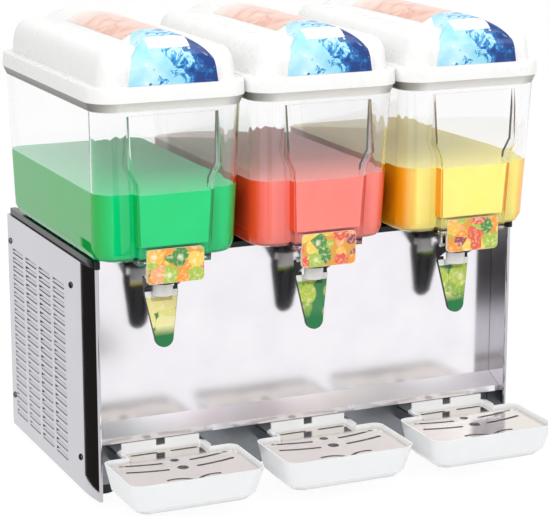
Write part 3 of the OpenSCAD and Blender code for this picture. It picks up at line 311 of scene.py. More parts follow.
def moulded(name, colour, shadow, rough, peel, **constants):
    """Plastic, rubber or paint: slight mottling of colour and gloss, and a fine texture.
    rough is its least and most roughness, and peel the texture's size in mm and its strength."""
    mottle_size, peel_depth = 0.03, 0.0002
    made, tree, shader = finish(name, colour, **constants)
    place = add(tree, "ShaderNodeTexCoord").outputs["Object"]
    mottle = add(tree, "ShaderNodeTexNoise",
                 {"Vector": place, "Scale": 1 / mottle_size, "Detail": 4})
    tint = add(tree, "ShaderNodeMix",
               {0: mottle.outputs[0], 6: linear(shadow), 7: linear(colour)}, data_type="RGBA")
    tree.links.new(tint.outputs[2], shader.inputs["Base Color"])
    gloss = add(tree, "ShaderNodeMapRange", {"Value": mottle.outputs[0], "From Min": 0.3,
                                             "From Max": 0.7, "To Min": rough[0],
                                             "To Max": rough[1]})
    tree.links.new(gloss.outputs["Result"], shader.inputs["Roughness"])
    skin = add(tree, "ShaderNodeTexNoise", {"Vector": place, "Scale": 1000 / peel[0], "Detail": 2})
    bump = add(tree, "ShaderNodeBump",
               {"Height": skin.outputs[0], "Strength": peel[1], "Distance": peel_depth})
    tree.links.new(bump.outputs[0], shader.inputs["Normal"])
    return made


deck_black = moulded("abs_black_vacuum_formed", "#0c0c0d", "#070708",
                     rough=(0.08, 0.16), peel=(4, 0.1), IOR=1.53,
                     Specular_IOR_Level=0.3)
dress(deck_black, "top_deck")

# Feet: moulded rubber bumpers pressed through the cabinet floor.
# Matt and a little dusty, as such rubber is.
foot_rubber = moulded("rubber_black_moulded", "#1b1b1c", "#101011",
                      rough=(0.55, 0.75), peel=(1.5, 0.3), IOR=1.5)
dress(foot_rubber, "feet")

# Tank seals: silicone rings on the deck round each cooling drum, which the tanks sit down on.
# Translucent grey rubber with a soft sheen.
seal_grey = moulded("silicone_grey_moulded", "#c4c3bd", "#aeada7",
                    rough=(0.35, 0.5), peel=(2, 0.15), IOR=1.41,
                    Subsurface_Weight=0.15, Subsurface_Scale=0.003)
dress(seal_grey, "tank_seals")

# Cooling unit: the compressor in its enamelled steel pot, the finned condenser and the fan
# behind it, bolted to the cabinet floor and hidden by the panels.
# Enamel: deep black with a clear gloss over a slightly wavy coat.
pot_enamel = moulded("steel_black_enamelled", "#17181a", "#0e0f10",
                     rough=(0.2, 0.34), peel=(5, 0.15), IOR=1.5,
                     Coat_Weight=0.3, Coat_Roughness=0.15)
dress(pot_enamel, "compressor")
# Rolled aluminium fins: pale, dull, with fine lines across their width.
fin_alloy = polished_sheet("aluminium_rolled", "#cfd1d3", "#aeb0b3",
                           rough=(0.3, 0.45), lay=(1, 0.05, 1))
dress(fin_alloy, "condenser")
# The motors' painted cast bodies are a flat mid grey with a grainy skin.
motor_grey = moulded("aluminium_grey_painted_cast", "#85888b", "#6f7275",
                     rough=(0.4, 0.55), peel=(1.2, 0.4), IOR=1.5)
dress(motor_grey, "fan_motor", "stir_motors")
# The fan's nylon is dull black, dulled further by the glass fibres at its surface.
blade_nylon = moulded("nylon_black_glass_filled", "#2b2c2e", "#1d1e20",
                      rough=(0.45, 0.6), peel=(0.8, 0.3), IOR=1.53)
dress(blade_nylon, "fan_blade")

# Controls on the rear panel: two rocker switches, the thermostat's knob and the mains inlet,
# all black nylon with a fine matt grain from the mould, snapped or bolted into cut-outs.
control_black = moulded("nylon_black_moulded", "#19191b", "#101012",
                        rough=(0.3, 0.42), peel=(0.6, 0.35), IOR=1.53)
dress(control_black, "power_inlet", "switch_housings", "cooling_switch", "stirring_switch",
      "thermostat_knob")

# Cooling drums: deep-drawn stainless cups that stand up into the tanks, with polishing
# rings round their axis. The stirrers' drive magnets turn inside them.
drum_steel = polished_sheet("stainless_steel_drawn", "#d6d6d8", "#b4b4b7",
                            rough=(0.12, 0.22), lay=(0.1, 0.1, 1))
dress(drum_steel, "evaporators")
# Sintered ferrite is dark grey and matt, with a grain like fine sandpaper.
magnet_dark = moulded("ferrite_dark_sintered", "#3a393b", "#29282a",
                      rough=(0.5, 0.7), peel=(0.5, 0.5), IOR=1.6)
dress(magnet_dark, "drive_magnet_left", "drive_magnet_centre", "drive_magnet_right")

# Stirrers: white food-safe plastic impellers that sit on a pin on each drum.
# Smooth and slightly waxy, as polyethylene is.
stir_white = moulded("polyethylene_white_moulded", "#f1f1ee", "#e4e4e0",
                     rough=(0.3, 0.42), peel=(2, 0.1), IOR=1.51,
                     Subsurface_Weight=0.2, Subsurface_Scale=0.004)
dress(stir_white, "stirrer_left", "stirrer_centre", "stirrer_right")

# Tanks: one clear moulding each, with drafted walls, a flared rim and a raised front panel
# with a jog at each side. They stand loose on the deck, over the drums, 200 mm apart.
tank_x = {"left": -200, "centre": 0, "right": 200}
tank_crease = 28


def baked(work, name):
    """A new mesh from a bmesh, which is freed."""
    mesh = bpy.data.meshes.new(name)
    work.to_mesh(mesh)
    work.free()
    return mesh


def smooth_shaded(work, crease):
    """Shades a bmesh smooth up to a crease angle in degrees."""
    for face in work.faces:
        face.smooth = True
    for edge in work.edges:
        edge.smooth = len(edge.link_faces) == 2 and edge.calc_face_angle(0) < math.radians(crease)


def skin_of(node, name, crease):
    """A merged copy of a CAD node's mesh, shaded smooth."""
    work = bmesh.new()
    work.from_mesh(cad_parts[node].data)
    bmesh.ops.remove_doubles(work, verts=work.verts, dist=weld)
    bmesh.ops.dissolve_degenerate(work, edges=work.edges, dist=weld / 2)
    smooth_shaded(work, crease)
    mesh = baked(work, name)
    if "custom_normal" in mesh.attributes:
        mesh.attributes.remove(mesh.attributes["custom_normal"])
    return mesh


# Clear SAN takes a high gloss from the mould; lamps pass through its walls to what stands
# inside. Its rim is a solid flange 11 mm deep, duller and less clear, with a painted grey shade on it.
rim_low, rim_full, flow_size = 0.4935, 0.495, 0.06
tank_clear, tree, shader = finish("san_clear_moulded", "#fdfdfd", IOR=1.5, Specular_IOR_Level=0.13)
place = add(tree, "ShaderNodeTexCoord").outputs["Object"]
height = add(tree, "ShaderNodeSeparateXYZ", {"Vector": place}).outputs["Z"]
rim = add(tree, "ShaderNodeMapRange", {"Value": height, "From Min": rim_low, "From Max": rim_full})
for socket, thin, thick in (("Roughness", 0.02, 0.12), ("Transmission Weight", 1.0, 0.3)):
    through = add(tree, "ShaderNodeMapRange",
                  {"Value": rim.outputs["Result"], "To Min": thin, "To Max": thick})
    tree.links.new(through.outputs["Result"], shader.inputs[socket])
# painted shade: the rim is painted a darker grey on its sideways faces than at the front
normal = add(tree, "ShaderNodeNewGeometry").outputs["Normal"]
facing = add(tree, "ShaderNodeSeparateXYZ", {"Vector": normal}).outputs["X"]
sideways = add(tree, "ShaderNodeMath", {0: facing}, operation="ABSOLUTE")
painted_rim_shade = add(tree, "ShaderNodeMix",
            {0: sideways.outputs[0], 6: linear("#eceae6"), 7: linear("#7a766f")}, data_type="RGBA")
painted_rim_shade = add(tree, "ShaderNodeMix",
            {0: rim.outputs["Result"], 6: linear("#fdfdfd"), 7: painted_rim_shade.outputs[2]}, data_type="RGBA")
tree.links.new(painted_rim_shade.outputs[2], shader.inputs["Base Color"])
flow = add(tree, "ShaderNodeTexNoise", {"Vector": place, "Scale": 1 / flow_size, "Detail": 1})
ripple = add(tree, "ShaderNodeBump", {"Height": flow.outputs[0], "Strength": 0.05, "Distance": 0.002})
tree.links.new(ripple.outputs[0], shader.inputs["Normal"])
clear = add(tree, "ShaderNodeBsdfTransparent", {"Color": linear("#f0f2f2")})
ray = add(tree, "ShaderNodeLightPath").outputs["Is Shadow Ray"]
both = add(tree, "ShaderNodeMixShader", {0: ray, 1: shader.outputs[0], 2: clear.outputs[0]})
tree.links.new(both.outputs[0], tree.nodes["Material Output"].inputs["Surface"])
for side in tank_x:
    shell = skin_of(f"tank_{side}", f"tank_{side}_shell", tank_crease)
    tank = new_piece(f"tank_{side}_shell", shell, f"tank_{side}", tank_clear,
                     [f"tank_{side}"])
    tank.modifiers.new("even_shading", "WEIGHTED_NORMAL").keep_sharp = True

# Juice: a cloudy fruit drink fills the foot of each tank and its front well, round the
# cooling drum. Each fill is cut to the inside of its own tank.
fill_floor, fill_top, fill_over = 0.3145, 0.396, 0.02
drum_y, drum_top, drum_r, drum_h = 0.0315, 0.392, 0.049, 0.1


def cloudy(name, colour, shadow, painted_side_shade):
    """Opaque drink with slow swirls of pulp, with painted shade: a deeper, darker colour where it faces
    sideways.
    """
    swirl_size = 0.04
    # it wets the wall, so it has next to no gloss of its own
    made, tree, shader = finish(name, colour, IOR=1.35, Specular_IOR_Level=0.06,
                                Subsurface_Weight=0.1, Subsurface_Scale=0.006)
    place = add(tree, "ShaderNodeTexCoord").outputs["Object"]
    swirl = add(tree, "ShaderNodeTexNoise",
                {"Vector": place, "Scale": 1 / swirl_size, "Detail": 3, "Distortion": 0.6})
    tint = add(tree, "ShaderNodeMix",
               {0: swirl.outputs[0], 6: linear(shadow), 7: linear(colour)}, data_type="RGBA")
    # painted shade: faces turned sideways are painted a deeper, darker colour, for the shade seen at the
    # drink's sides
    normal = add(tree, "ShaderNodeNewGeometry").outputs["Normal"]
    facing = add(tree, "ShaderNodeSeparateXYZ", {"Vector": normal}).outputs["X"]
    sideways = add(tree, "ShaderNodeMath", {0: facing}, operation="ABSOLUTE")
    side_shade_mask = add(tree, "ShaderNodeMapRange",
               {"Value": sideways.outputs[0], "From Min": 0.25, "From Max": 0.9})
    tint = add(tree, "ShaderNodeMix",
               {0: side_shade_mask.outputs["Result"], 6: tint.outputs[2], 7: linear(painted_side_shade)}, data_type="RGBA")
    tree.links.new(tint.outputs[2], shader.inputs["Base Color"])
    wet = add(tree, "ShaderNodeMapRange", {"Value": swirl.outputs[0], "To Min": 0.06, "To Max": 0.16})
    tree.links.new(wet.outputs["Result"], shader.inputs["Roughness"])
    return made


def poured(side):
    """The fill of one tank: a block, cut by the tank's own wall and by the drum."""
    low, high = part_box(f"tank_{side}")
    middle = Vector(((low.x + high.x) / 2, (low.y + high.y) / 2, (fill_floor + fill_top) / 2))
    size = Vector((high.x - low.x + fill_over, high.y - low.y + fill_over, fill_top - fill_floor))
    work = bmesh.new()
    bmesh.ops.create_cube(work, size=1)
    for v in work.verts:
        v.co = middle + v.co * size
    fill = put("fill", baked(work, "fill_block"))
    work = bmesh.new()
    bmesh.ops.create_cone(work, cap_ends=True, segments=64, radius1=drum_r, radius2=drum_r, depth=drum_h)
    for v in work.verts:
        v.co += Vector((middle.x, drum_y, drum_top - drum_h / 2))
    cutters = [put("fill_wall", skin_of(f"tank_{side}", "fill_wall", tank_crease)),
               put("fill_core", baked(work, "drum_core"))]
    for cutter in cutters:
        cut = fill.modifiers.new("cut", "BOOLEAN")
        cut.operation, cut.solver, cut.object = "DIFFERENCE", "EXACT", cutter
    cut_mesh = settled(fill)
    for cutter in cutters:
        bpy.data.objects.remove(cutter)
    # what lies outside the tank's walls is dropped
    work = bmesh.new()
    work.from_mesh(cut_mesh)
    bmesh.ops.remove_doubles(work, verts=work.verts, dist=weld)
    drum_middle = Vector((middle.x, drum_y, drum_top))
    start = min(work.verts, key=lambda v: (v.co - drum_middle).length)
    inside, reached = {start}, {start}
    while reached:
        reached = {e.other_vert(v) for v in reached for e in v.link_edges} - inside
        inside |= reached
    bmesh.ops.delete(work, geom=[v for v in work.verts if v not in inside], context="VERTS")
    # the fill is grown 0.3 mm into the wall, so that no air shows between them
    into_wall, round_drum = 0.0003, 0.0505
    bmesh.ops.recalc_face_normals(work, faces=work.faces)
    work.normal_update()
    grow = {v: v.normal * into_wall for v in work.verts}
    for v, outward in grow.items():
        if math.hypot(v.co.x - middle.x, v.co.y - drum_y) > round_drum:
            v.co += outward
    smooth_shaded(work, tank_crease)
    return baked(work, f"juice_{side}")


# each drink: its colour, the darker tone of its swirls, and its painted side shade
for side, name, colour, shadow, painted_side_shade in (("left", "green", "#00d886", "#00ce7a", "#00b548"),
                                         ("centre", "red", "#ff9389", "#fd867c", "#f0542c"),
                                         ("right", "yellow", "#fff396", "#ffec7c", "#f8a414")):
    juice = cloudy(f"juice_{name}_cloudy", colour, shadow, painted_side_shade)
    drink = new_piece(f"juice_{side}", poured(side), f"tank_{side}", juice)
    drink.modifiers.new("even_shading", "WEIGHTED_NORMAL").keep_sharp = True

# Lids: white mouldings that drop over the tanks' rims: a brim, a lip inside the rim, rounded
# shoulders and a round hump down the middle. They are one wall all over, with soft corners.
# Sizes are in mm, x from the lid's middle line.
lid_half, lid_front, lid_back, lid_wall, lid_crease = 99.5, -159.5, 218.5, 2.5, 38
lid_r_front, lid_r_back = 33, 29
brim_low, brim_top = 505.1, 523
hump_half, hump_front, hump_back = 56, -157.5, 201
crown_z, crown_r = 520, 60
nose_y, nose_run, nose_z, nose_rise = -90.5, 67, 540, 41.5
tail_y, tail_z, tail_r = 165, 545.5, 36
shoulder_mid, shoulder_half, shoulder_len = 27.5, 64.5, 156
shoulder_r, shoulder_run, shoulder_rise = 22, 20, 40
crown_fillet, brim_fillet, hump_fillet = 5, 2.5, 4


def higher(a, b, fillet):
    """The greater of two heights, filled in softly where they meet."""
    near = max(fillet - abs(a - b), 0) / fillet
    return max(a, b) + near * near * fillet / 4


def hump(x, y):
    """Height of a lid's hump: a long crown with a round nose in front and a tail behind."""
    if abs(x) > hump_half or not hump_front - 0.01 <= y <= hump_back:
        return 0
    crown = crown_z + math.sqrt(crown_r ** 2 - x ** 2)
    nose = nose_z
    if y > hump_front:
        nose += nose_rise * math.sqrt(1 - min((y - nose_y) / nose_run, 0) ** 2)
    tail = tail_z + math.sqrt(tail_r ** 2 - max(y - tail_y, 0) ** 2)
    return -higher(-crown, -min(nose, tail), crown_fillet)


def shoulder(x, y):
    """Height of a lid's shoulders: steep at the brim, rounding over to a flat top."""
    out_x, out_y = abs(x) - shoulder_half, abs(y - shoulder_mid) - shoulder_len
    depth = shoulder_r - math.hypot(max(out_x, 0), max(out_y, 0)) - min(max(out_x, out_y), 0)
    if depth <= 0:
        return 0
    return brim_top + shoulder_rise * (1 - (1 - min(depth / shoulder_run, 1)) ** 2.5) ** 0.4


def lid_top(x, y):
    """Height of the whole lid, over its brim."""
    return higher(higher(brim_top, shoulder(x, y), brim_fillet), hump(x, y), hump_fillet)


def rounded(half, y0, y1, r_front, r_back, xs=(), ys=()):
    """Points round a rounded oblong, each with its outward direction and its corner's radius.
    xs and ys are extra points along its straight edges."""
    corners = ((-1, y0 + r_front, r_front, 180), (1, y0 + r_front, r_front, 270),
               (1, y1 - r_back, r_back, 0), (-1, y1 - r_back, r_back, 90))
    edges = ([(x, y0, 0, -1) for x in xs], [(half, y, 1, 0) for y in ys],
             [(-x, y1, 0, 1) for x in xs], [(-half, y, -1, 0) for y in reversed(ys)])
    loop = []
    for (end, cy, r, start), edge in zip(corners, edges):
        for part in range(9):
            a = math.radians(start + 90 * part / 8)
            loop.append((end * (half - r) + r * math.cos(a), cy + r * math.sin(a),
                         math.cos(a), math.sin(a), r))
        loop += [(*point, math.inf) for point in edge]
    return loop


def ring_of(work, points, x0):
    """New points of a bmesh, from places in mm on the lid at x0."""
    return [work.verts.new(((x0 + x) / 1000, y / 1000, z / 1000)) for x, y, z in points]


def band(work, one, two):
    """Faces between two closed rings of points."""
    for i in range(len(one)):
        work.faces.new((one[i - 1], one[i], two[i], two[i - 1]))


# ABS with a fine sheen from the mould; its white is a little warm in the shade.
lid_white = moulded("abs_white_moulded", "#f2f2f1", "#eeeeed",
                    rough=(0.24, 0.34), peel=(3, 0.02), IOR=1.5)
# the mesh is closest where the hump rises out of the shoulders
half_xs = (9, 18, 27, 36, 44, 50, 54, 55.95, 56.3, 58, 62)
lid_xs = [*(-x for x in reversed(half_xs)), 0, *half_xs]
lid_ys = [*range(-122, -46, 5), *range(-36, 181, 12)]
lid_loop = rounded(lid_half, lid_front, lid_back, lid_r_front, lid_r_back, lid_xs, lid_ys)
# each ring is set in from the one before; the first ones climb the brim, the rest follow the top
climb = ((0, brim_low), (0.4, 513), (0.8, 521), (1.1, 522), (1.5, 522.6), (1.95, 522.9))
follow = (2, 2.1, 2.3, 2.7, 3.3, 4.2, 5.4, 7, 8.4, 9, 9.1, 9.4, 9.9, 10.6, 11.6, 12.6, 13, 13.1, 13.4,
          13.9, 14.6, 15.6, 17, 19, 21.5, 24.5, 28, 31, 34, 38, 42, 46, 50, 53, 55, 56.5, 58, 59.5, 61,
          63, 66, 70, 75, 81, 88, 94, 99.5)
# the lip stands inside the tank's rim, from the brim's underside down
lip_half, lip_front, lip_back, lip_r, lip_wall = 89.8, -149.8, 208.8, 23.8, 2
lip_low, lip_high = 499.2, 521
for side, x0 in tank_x.items():
    work = bmesh.new()
    rings = []
    for inset, climbed in [*climb, *((d, None) for d in follow)]:
        ring = []
        for px, py, nx, ny, r in lid_loop:
            x, y = px - nx * min(inset, r), py - ny * min(inset, r)
            x = max(min(x, lid_half - inset), inset - lid_half)
            y = max(min(y, lid_back - inset), inset + lid_front)
            ring.append((x, y, climbed or lid_top(x, y)))
        rings.append(ring_of(work, ring, x0))
    for outer, inner in zip(rings, rings[1:]):
        band(work, outer, inner)
    bmesh.ops.remove_doubles(work, verts=work.verts, dist=weld)
    bmesh.ops.dissolve_degenerate(work, edges=work.edges, dist=weld / 2)
    bmesh.ops.recalc_face_normals(work, faces=work.faces)
    wall = put("lid_wall", baked(work, "lid_wall"))
    thick = wall.modifiers.new("wall", "SOLIDIFY")
    thick.thickness, thick.offset = lid_wall / 1000, -1
    work = bmesh.new()
    work.from_mesh(settled(wall))
    outer, inner = ([point[:2] for point in rounded(lip_half - t, lip_front + t, lip_back - t,
                                                    lip_r - t, lip_r - t)] for t in (0, lip_wall))
    section = ((outer, lip_high), (outer, lip_low), (inner, lip_low), (inner, lip_high), (outer, lip_high))
    rings = [ring_of(work, [(x, y, z) for x, y in ring], x0) for ring, z in section]
    for one, two in zip(rings, rings[1:]):
        band(work, two, one)
    bmesh.ops.remove_doubles(work, verts=work.verts, dist=weld)
    smooth_shaded(work, lid_crease)
    new_piece(f"lid_{side}_shell", baked(work, f"lid_{side}_shell"), f"lid_{side}", lid_white,
              [f"lid_{side}"])

# Lid films: a printed film on the front of each hump, in blues with pale foam and a bare label
# patch, and a peach film along its crest. Thin vinyl, stuck on and smoothed down by hand.


def film(name, body, rows, material):
    """A sheet from rows of points in mm, each with its place on the print in mm."""
    work = bmesh.new()
    print_at = work.loops.layers.uv.new("print_mm")
    grid = [[(work.verts.new((x / 1000, y / 1000, z / 1000)), (u, v)) for x, y, z, u, v in row]
            for row in rows]
    for low, high in zip(grid, grid[1:]):
        for i in range(len(low) - 1):
            corners = (low[i], low[i + 1], high[i + 1], high[i])
            face = work.faces.new([c[0] for c in corners])
            face.smooth = True
            for loop, corner in zip(face.loops, corners):
                loop[print_at].uv = corner[1]
    return new_piece(name, baked(work, name), body, material)


def printed(name, colour, rough):
    """A glossy printed film. Returns its tree, its shader and the place on the print in mm."""
    made, tree, shader = finish(name, colour, Roughness=rough, IOR=1.46)
    return made, tree, shader, add(tree, "ShaderNodeUVMap", uv_map="print_mm").outputs[0]


def lay_ink(tree, under, ink, value, low, high):
    """Lays an ink over what is under it, as a value goes from low to high. Hex or sockets."""
    pair = [linear(c) if isinstance(c, str) else c for c in (under, ink)]
    amount = add(tree, "ShaderNodeMapRange", {"Value": value, "From Min": low, "From Max": high})
    return add(tree, "ShaderNodeMix", {0: amount.outputs["Result"], 6: pair[0], 7: pair[1]},
               data_type="RGBA").outputs[2]


# Blue ink: pale water at one side, torn patches of deep blue at the other, with foam and drops.
film_blue, tree, shader, at = printed("vinyl_film_blue_printed", "#7cc7ec", 0.12)
swell_mm, patch_mm, foam_mm, drop_mm = 30, 20, 14, 16
across = add(tree, "ShaderNodeSeparateXYZ", {"Vector": at}).outputs
swell = add(tree, "ShaderNodeTexNoise", {"Vector": at, "Scale": 1 / swell_mm, "Detail": 2})
ink = lay_ink(tree, "#8fd6ee", "#c4eef6", swell.outputs[0], 0.35, 0.65)
torn = add(tree, "ShaderNodeTexNoise", {"Vector": at, "Scale": 1 / patch_mm, "Detail": 7,
                                        "Roughness": 0.66, "Distortion": 0.5})
drift = add(tree, "ShaderNodeMath", {0: across["X"], 1: 0.0045, 2: torn.outputs[0]},
            operation="MULTIPLY_ADD")
for colour, low, high in (("#3f9fd8", 0.5, 0.53), ("#0f5da6", 0.545, 0.56), ("#0b3a80", 0.62, 0.65)):
    ink = lay_ink(tree, ink, colour, drift.outputs[0], low, high)
foam = add(tree, "ShaderNodeTexNoise", {"Vector": at, "Scale": 1 / foam_mm, "Detail": 6,
                                        "Roughness": 0.7, "Distortion": 0.4})
ink = lay_ink(tree, ink, "#e9f8fb", foam.outputs[0], 0.6, 0.64)
drops = add(tree, "ShaderNodeTexVoronoi", {"Vector": at, "Scale": 1 / drop_mm, "Randomness": 1.0})
ink = lay_ink(tree, ink, "#1f78bd", drops.outputs["Distance"], 0.13, 0.1)
# the label patch is bare white, 56 mm up the film
label_y, label_half_x, label_half_y, label_edge = 56, 25, 11, 0.5
up = add(tree, "ShaderNodeMath", {0: across["Y"], 1: label_y}, operation="SUBTRACT").outputs[0]
within = []
for value, reach in ((across["X"], label_half_x), (up, label_half_y)):
    away = add(tree, "ShaderNodeMath", {0: value}, operation="ABSOLUTE")
    within.append(add(tree, "ShaderNodeMapRange", {
        "Value": away.outputs[0], "From Min": reach + label_edge, "From Max": reach}))
label = add(tree, "ShaderNodeMath", {i: part.outputs["Result"] for i, part in enumerate(within)},
            operation="MULTIPLY")
ink = lay_ink(tree, ink, "#fafafa", label.outputs[0], 0, 1)
tree.links.new(ink, shader.inputs["Base Color"])

# Peach ink: soft ripples that fade out to the white of the lid towards the back.
film_peach, tree, shader, at = printed("vinyl_film_peach_printed", "#f3cdbb", 0.16)
ripple_mm = 30
along = add(tree, "ShaderNodeSeparateXYZ", {"Vector": at}).outputs
ripples = add(tree, "ShaderNodeTexNoise", {"Vector": at, "Scale": 1 / ripple_mm, "Detail": 4,
                                           "Distortion": 1.2})
ink = lay_ink(tree, "#dfa08e", "#f2cdb8", ripples.outputs[0], 0.35, 0.65)
tree.links.new(lay_ink(tree, ink, "#f4ebe6", along["Y"], 130, 205), shader.inputs["Base Color"])

# the blue film starts just over the brim, climbs the upright front and follows the nose up to
# where the peach film starts; its path is in y, with z where it stands upright
film_off, crest_half, crest_start, crest_end = 0.4, 36, -83, 120
front_half, front_taper, front_curve, upright_end = 55.7, 0.13, 0.00145, -120
nose_ys = [nose_y - nose_run * math.cos(math.radians(a)) for a in range(0, 91, 3)]
path = [(hump_front, z) for z in range(524, 537, 4)]
path += [(y, None) for y in (*nose_ys, crest_start - 4, crest_start)]
for side, x0 in tank_x.items():
    rows, run, last = [], 0, None
    for y, z in path:
        here = (y, z or hump(0, y))
        run += math.dist(here, last) if last else 0
        last = here
        # its sides draw in as it climbs, and stop short of the fillet at the hump's foot
        half = front_half - front_taper * run - front_curve * run * run
        while not z and lid_top(half, y) - hump(half, y) > 0.02:
            half -= 0.25
        forward = film_off if y < upright_end else film_off / 4
        rows.append([(x0 + x, y - forward, z or lid_top(x, y) + film_off, x, run)
                     for x in (half * (i / 16 - 1) for i in range(33))])
    film(f"lid_{side}_front_film", f"lid_{side}", rows, film_blue)
    rows = [[(x0 + x, y, lid_top(x, y) + film_off, x, y - crest_start)
             for x in range(-crest_half, crest_half + 1, 3)]
            for y in range(crest_start, crest_end + 1, 7)]
    film(f"lid_{side}_crest_film", f"lid_{side}", rows, film_peach)

# Taps: a black barrel under each tank's front with a white spout, a printed front cover and a
# black push lever with a printed film, which lifts the sprung plunger. All are moulded acetal or
# ABS; the pin and the spring are steel.
# Black acetal is deep and slick, white acetal milky and softer in gloss.
tap_black = moulded("acetal_black_moulded", "#131315", "#0a0a0b",
                    rough=(0.14, 0.24), peel=(2, 0.1), IOR=1.48)
tap_white = moulded("acetal_white_moulded", "#f3f3f0", "#e8e8e4",
                    rough=(0.25, 0.35), peel=(2, 0.1), IOR=1.48)
# Drawn wire is bright and slightly streaked; the cover's cream ABS shows only round its film.
spring_wire = polished_sheet("spring_steel_drawn", "#c9c7c4", "#9d9b98",
                             rough=(0.18, 0.3), lay=(1, 1, 1))
cover_cream = moulded("abs_cream_moulded", "#efe6d2", "#e2d8c2",
                      rough=(0.2, 0.3), peel=(2, 0.1), IOR=1.53)


def pebbles(tree, at, size, colours, gap):
    """Round patches of ink of one size in mm, each with a pale middle, over a ground."""
    cells = add(tree, "ShaderNodeTexVoronoi", {"Vector": at, "Scale": 1 / size, "Randomness": 0.75})
    pick = add(tree, "ShaderNodeSeparateColor", {"Color": cells.outputs["Color"]}).outputs["Green"]
    ramp = add(tree, "ShaderNodeValToRGB", {"Fac": pick})
    ramp.color_ramp.interpolation = "CONSTANT"
    while len(ramp.color_ramp.elements) < len(colours):
        ramp.color_ramp.elements.new(0.99)
    for i, (stop, colour) in enumerate(zip(ramp.color_ramp.elements, colours)):
        stop.position, stop.color = i / len(colours), linear(colour)
    grain = add(tree, "ShaderNodeTexNoise", {"Vector": at, "Scale": 4 / size, "Detail": 3})
    ink = lay_ink(tree, ramp.outputs[0], "#fbf0c0", grain.outputs[0], 0.5, 0.8)
    ink = lay_ink(tree, ink, "#fdf3d3", cells.outputs["Distance"], 0.3, 0.02)
    return lay_ink(tree, ink, gap, cells.outputs["Distance"], 0.68, 0.74)


# Inks in warm fruit colours: round spots of orange, coral, yellow, lime, green and berry.
cover_film, tree, shader, at = printed("vinyl_film_warm_printed", "#f2a63c", 0.1)
warm = ("#f59a2e", "#e8604a", "#f9d05c", "#a9c54a", "#f6ab78", "#4d8f46", "#a3405a", "#f7bb48")
tree.links.new(pebbles(tree, at, 17, warm, "#e2a044"), shader.inputs["Base Color"])
# Inks in lime and green: pale spots in the middle, dark green at the tip, white at the top.
lever_film, tree, shader, at = printed("vinyl_film_green_printed", "#b9cf4e", 0.1)
down = add(tree, "ShaderNodeSeparateXYZ", {"Vector": at}).outputs["Y"]
ink = pebbles(tree, at, 24, ("#e6e38a", "#b7cd4e", "#f1eaa6", "#8fb648", "#efe394"), "#3c8552")
ink = lay_ink(tree, ink, "#12783f", down, -62, -74)
tree.links.new(lay_ink(tree, ink, "#f2f3ee", down, -27, -26.5), shader.inputs["Base Color"])


def flat_film(name, body, outline, material):
    """A flat sheet inside an outline of points in mm, each with its place on the print."""
    work = bmesh.new()
    print_at = work.loops.layers.uv.new("print_mm")
    face = work.faces.new([work.verts.new((x / 1000, y / 1000, z / 1000)) for x, y, z, u, v in outline])
    for loop, point in zip(face.loops, outline):
        loop[print_at].uv = point[3:]
    bmesh.ops.triangulate(work, faces=[face])
    return new_piece(name, baked(work, name), body, material)


# the cover's film is upright; the lever's lies on its leaning face, down from the lever's pin
cover_face, cover_mid, cover_half, cover_rise, cover_r = -157.62, 309, 35.9, 20.6, 5.6
pin_y, pin_z, lever_face, lean = -101, 284.7, 4.12, math.radians(9)
lever_half, lever_top, lever_edge, tip_r, tip_mid = 21.1, -19, -22, 11.6, -76
# the film is cut out round the tap's barrel
notch_half, notch_low = 13.6, -31.4
cover_sheet = [point[:2] for point in rounded(cover_half, -cover_rise, cover_rise, cover_r, cover_r)]
tip = [(tip_r * math.cos(math.radians(a)), tip_mid + tip_r * math.sin(math.radians(a)))
       for a in range(180, 361, 12)]
lever_sheet = [(-notch_half, lever_top), (-lever_half, lever_top), (-lever_half, lever_edge), *tip,
               (lever_half, lever_edge), (lever_half, lever_top), (notch_half, lever_top),
               (notch_half, notch_low), (-notch_half, notch_low)]
for side, x0 in tank_x.items():
    dress(tap_black, f"tap_body_{side}", f"lever_{side}")
    dress(tap_white, f"spout_{side}", f"plunger_{side}")
    dress(spring_wire, f"lever_pin_{side}")
    dress(cover_cream, f"tap_cover_{side}")
    # the spring is squeezed up against the barrel's shoulder as the plunger lifts 6.3 mm
    coil = new_piece(f"spring_{side}_coil", skin_of(f"spring_{side}", f"spring_{side}_coil", 70),
                     f"tank_{side}", spring_wire, [f"spring_{side}"])
    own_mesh(coil)
    # each film is cut from another part of the same printed roll
    shift = x0 * 0.9 + 400
    outline = [(x0 + x, cover_face, cover_mid + z, x + shift, z) for x, z in cover_sheet]
    flat_film(f"tap_cover_{side}_film", f"tank_{side}", outline, cover_film)
    outline = [(x0 + x, pin_y - lever_face * math.cos(lean) + z * math.sin(lean),
                pin_z + lever_face * math.sin(lean) + z * math.cos(lean), x + shift, z)
               for x, z in lever_sheet]
    flat_film(f"lever_{side}_film", f"lever_{side}", outline, lever_film)

# Drip trays: white moulded basins with a belly, hung by the ears of their necks on the rails
# under the shelf. Hard glossy ABS, with a cold clear shine from the polished mould.
tray_white = moulded("abs_white_tray_moulded", "#f4f5f6", "#eceef0",
                     rough=(0.14, 0.22), peel=(3, 0.08), IOR=1.53,
                     Coat_Weight=0.2, Coat_Roughness=0.1)
for side in tank_x:
    basin = skin_of(f"drip_tray_{side}", f"drip_tray_{side}_shell", 30)
    tray = new_piece(f"drip_tray_{side}_shell", basin, f"drip_tray_{side}", tray_white,
                     [f"drip_tray_{side}"])
    tray.modifiers.new("even_shading", "WEIGHTED_NORMAL").keep_sharp = True

# Grates: pierced stainless plates that lie loose on posts in the trays.
# A bright polish, a little warm, with fine lines across.
grate_steel = polished_sheet("stainless_steel_pierced_polished", "#f6f0ea", "#e4ddd6",
                             rough=(0.09, 0.15), lay=(0.04, 1, 1))
dress(grate_steel, "grate_left", "grate_centre", "grate_right")

# Studio: a pale counter and backdrop that the camera and the metal see as white, a large
# soft lamp in front to the left, a broad one above and a weaker fill at the right.


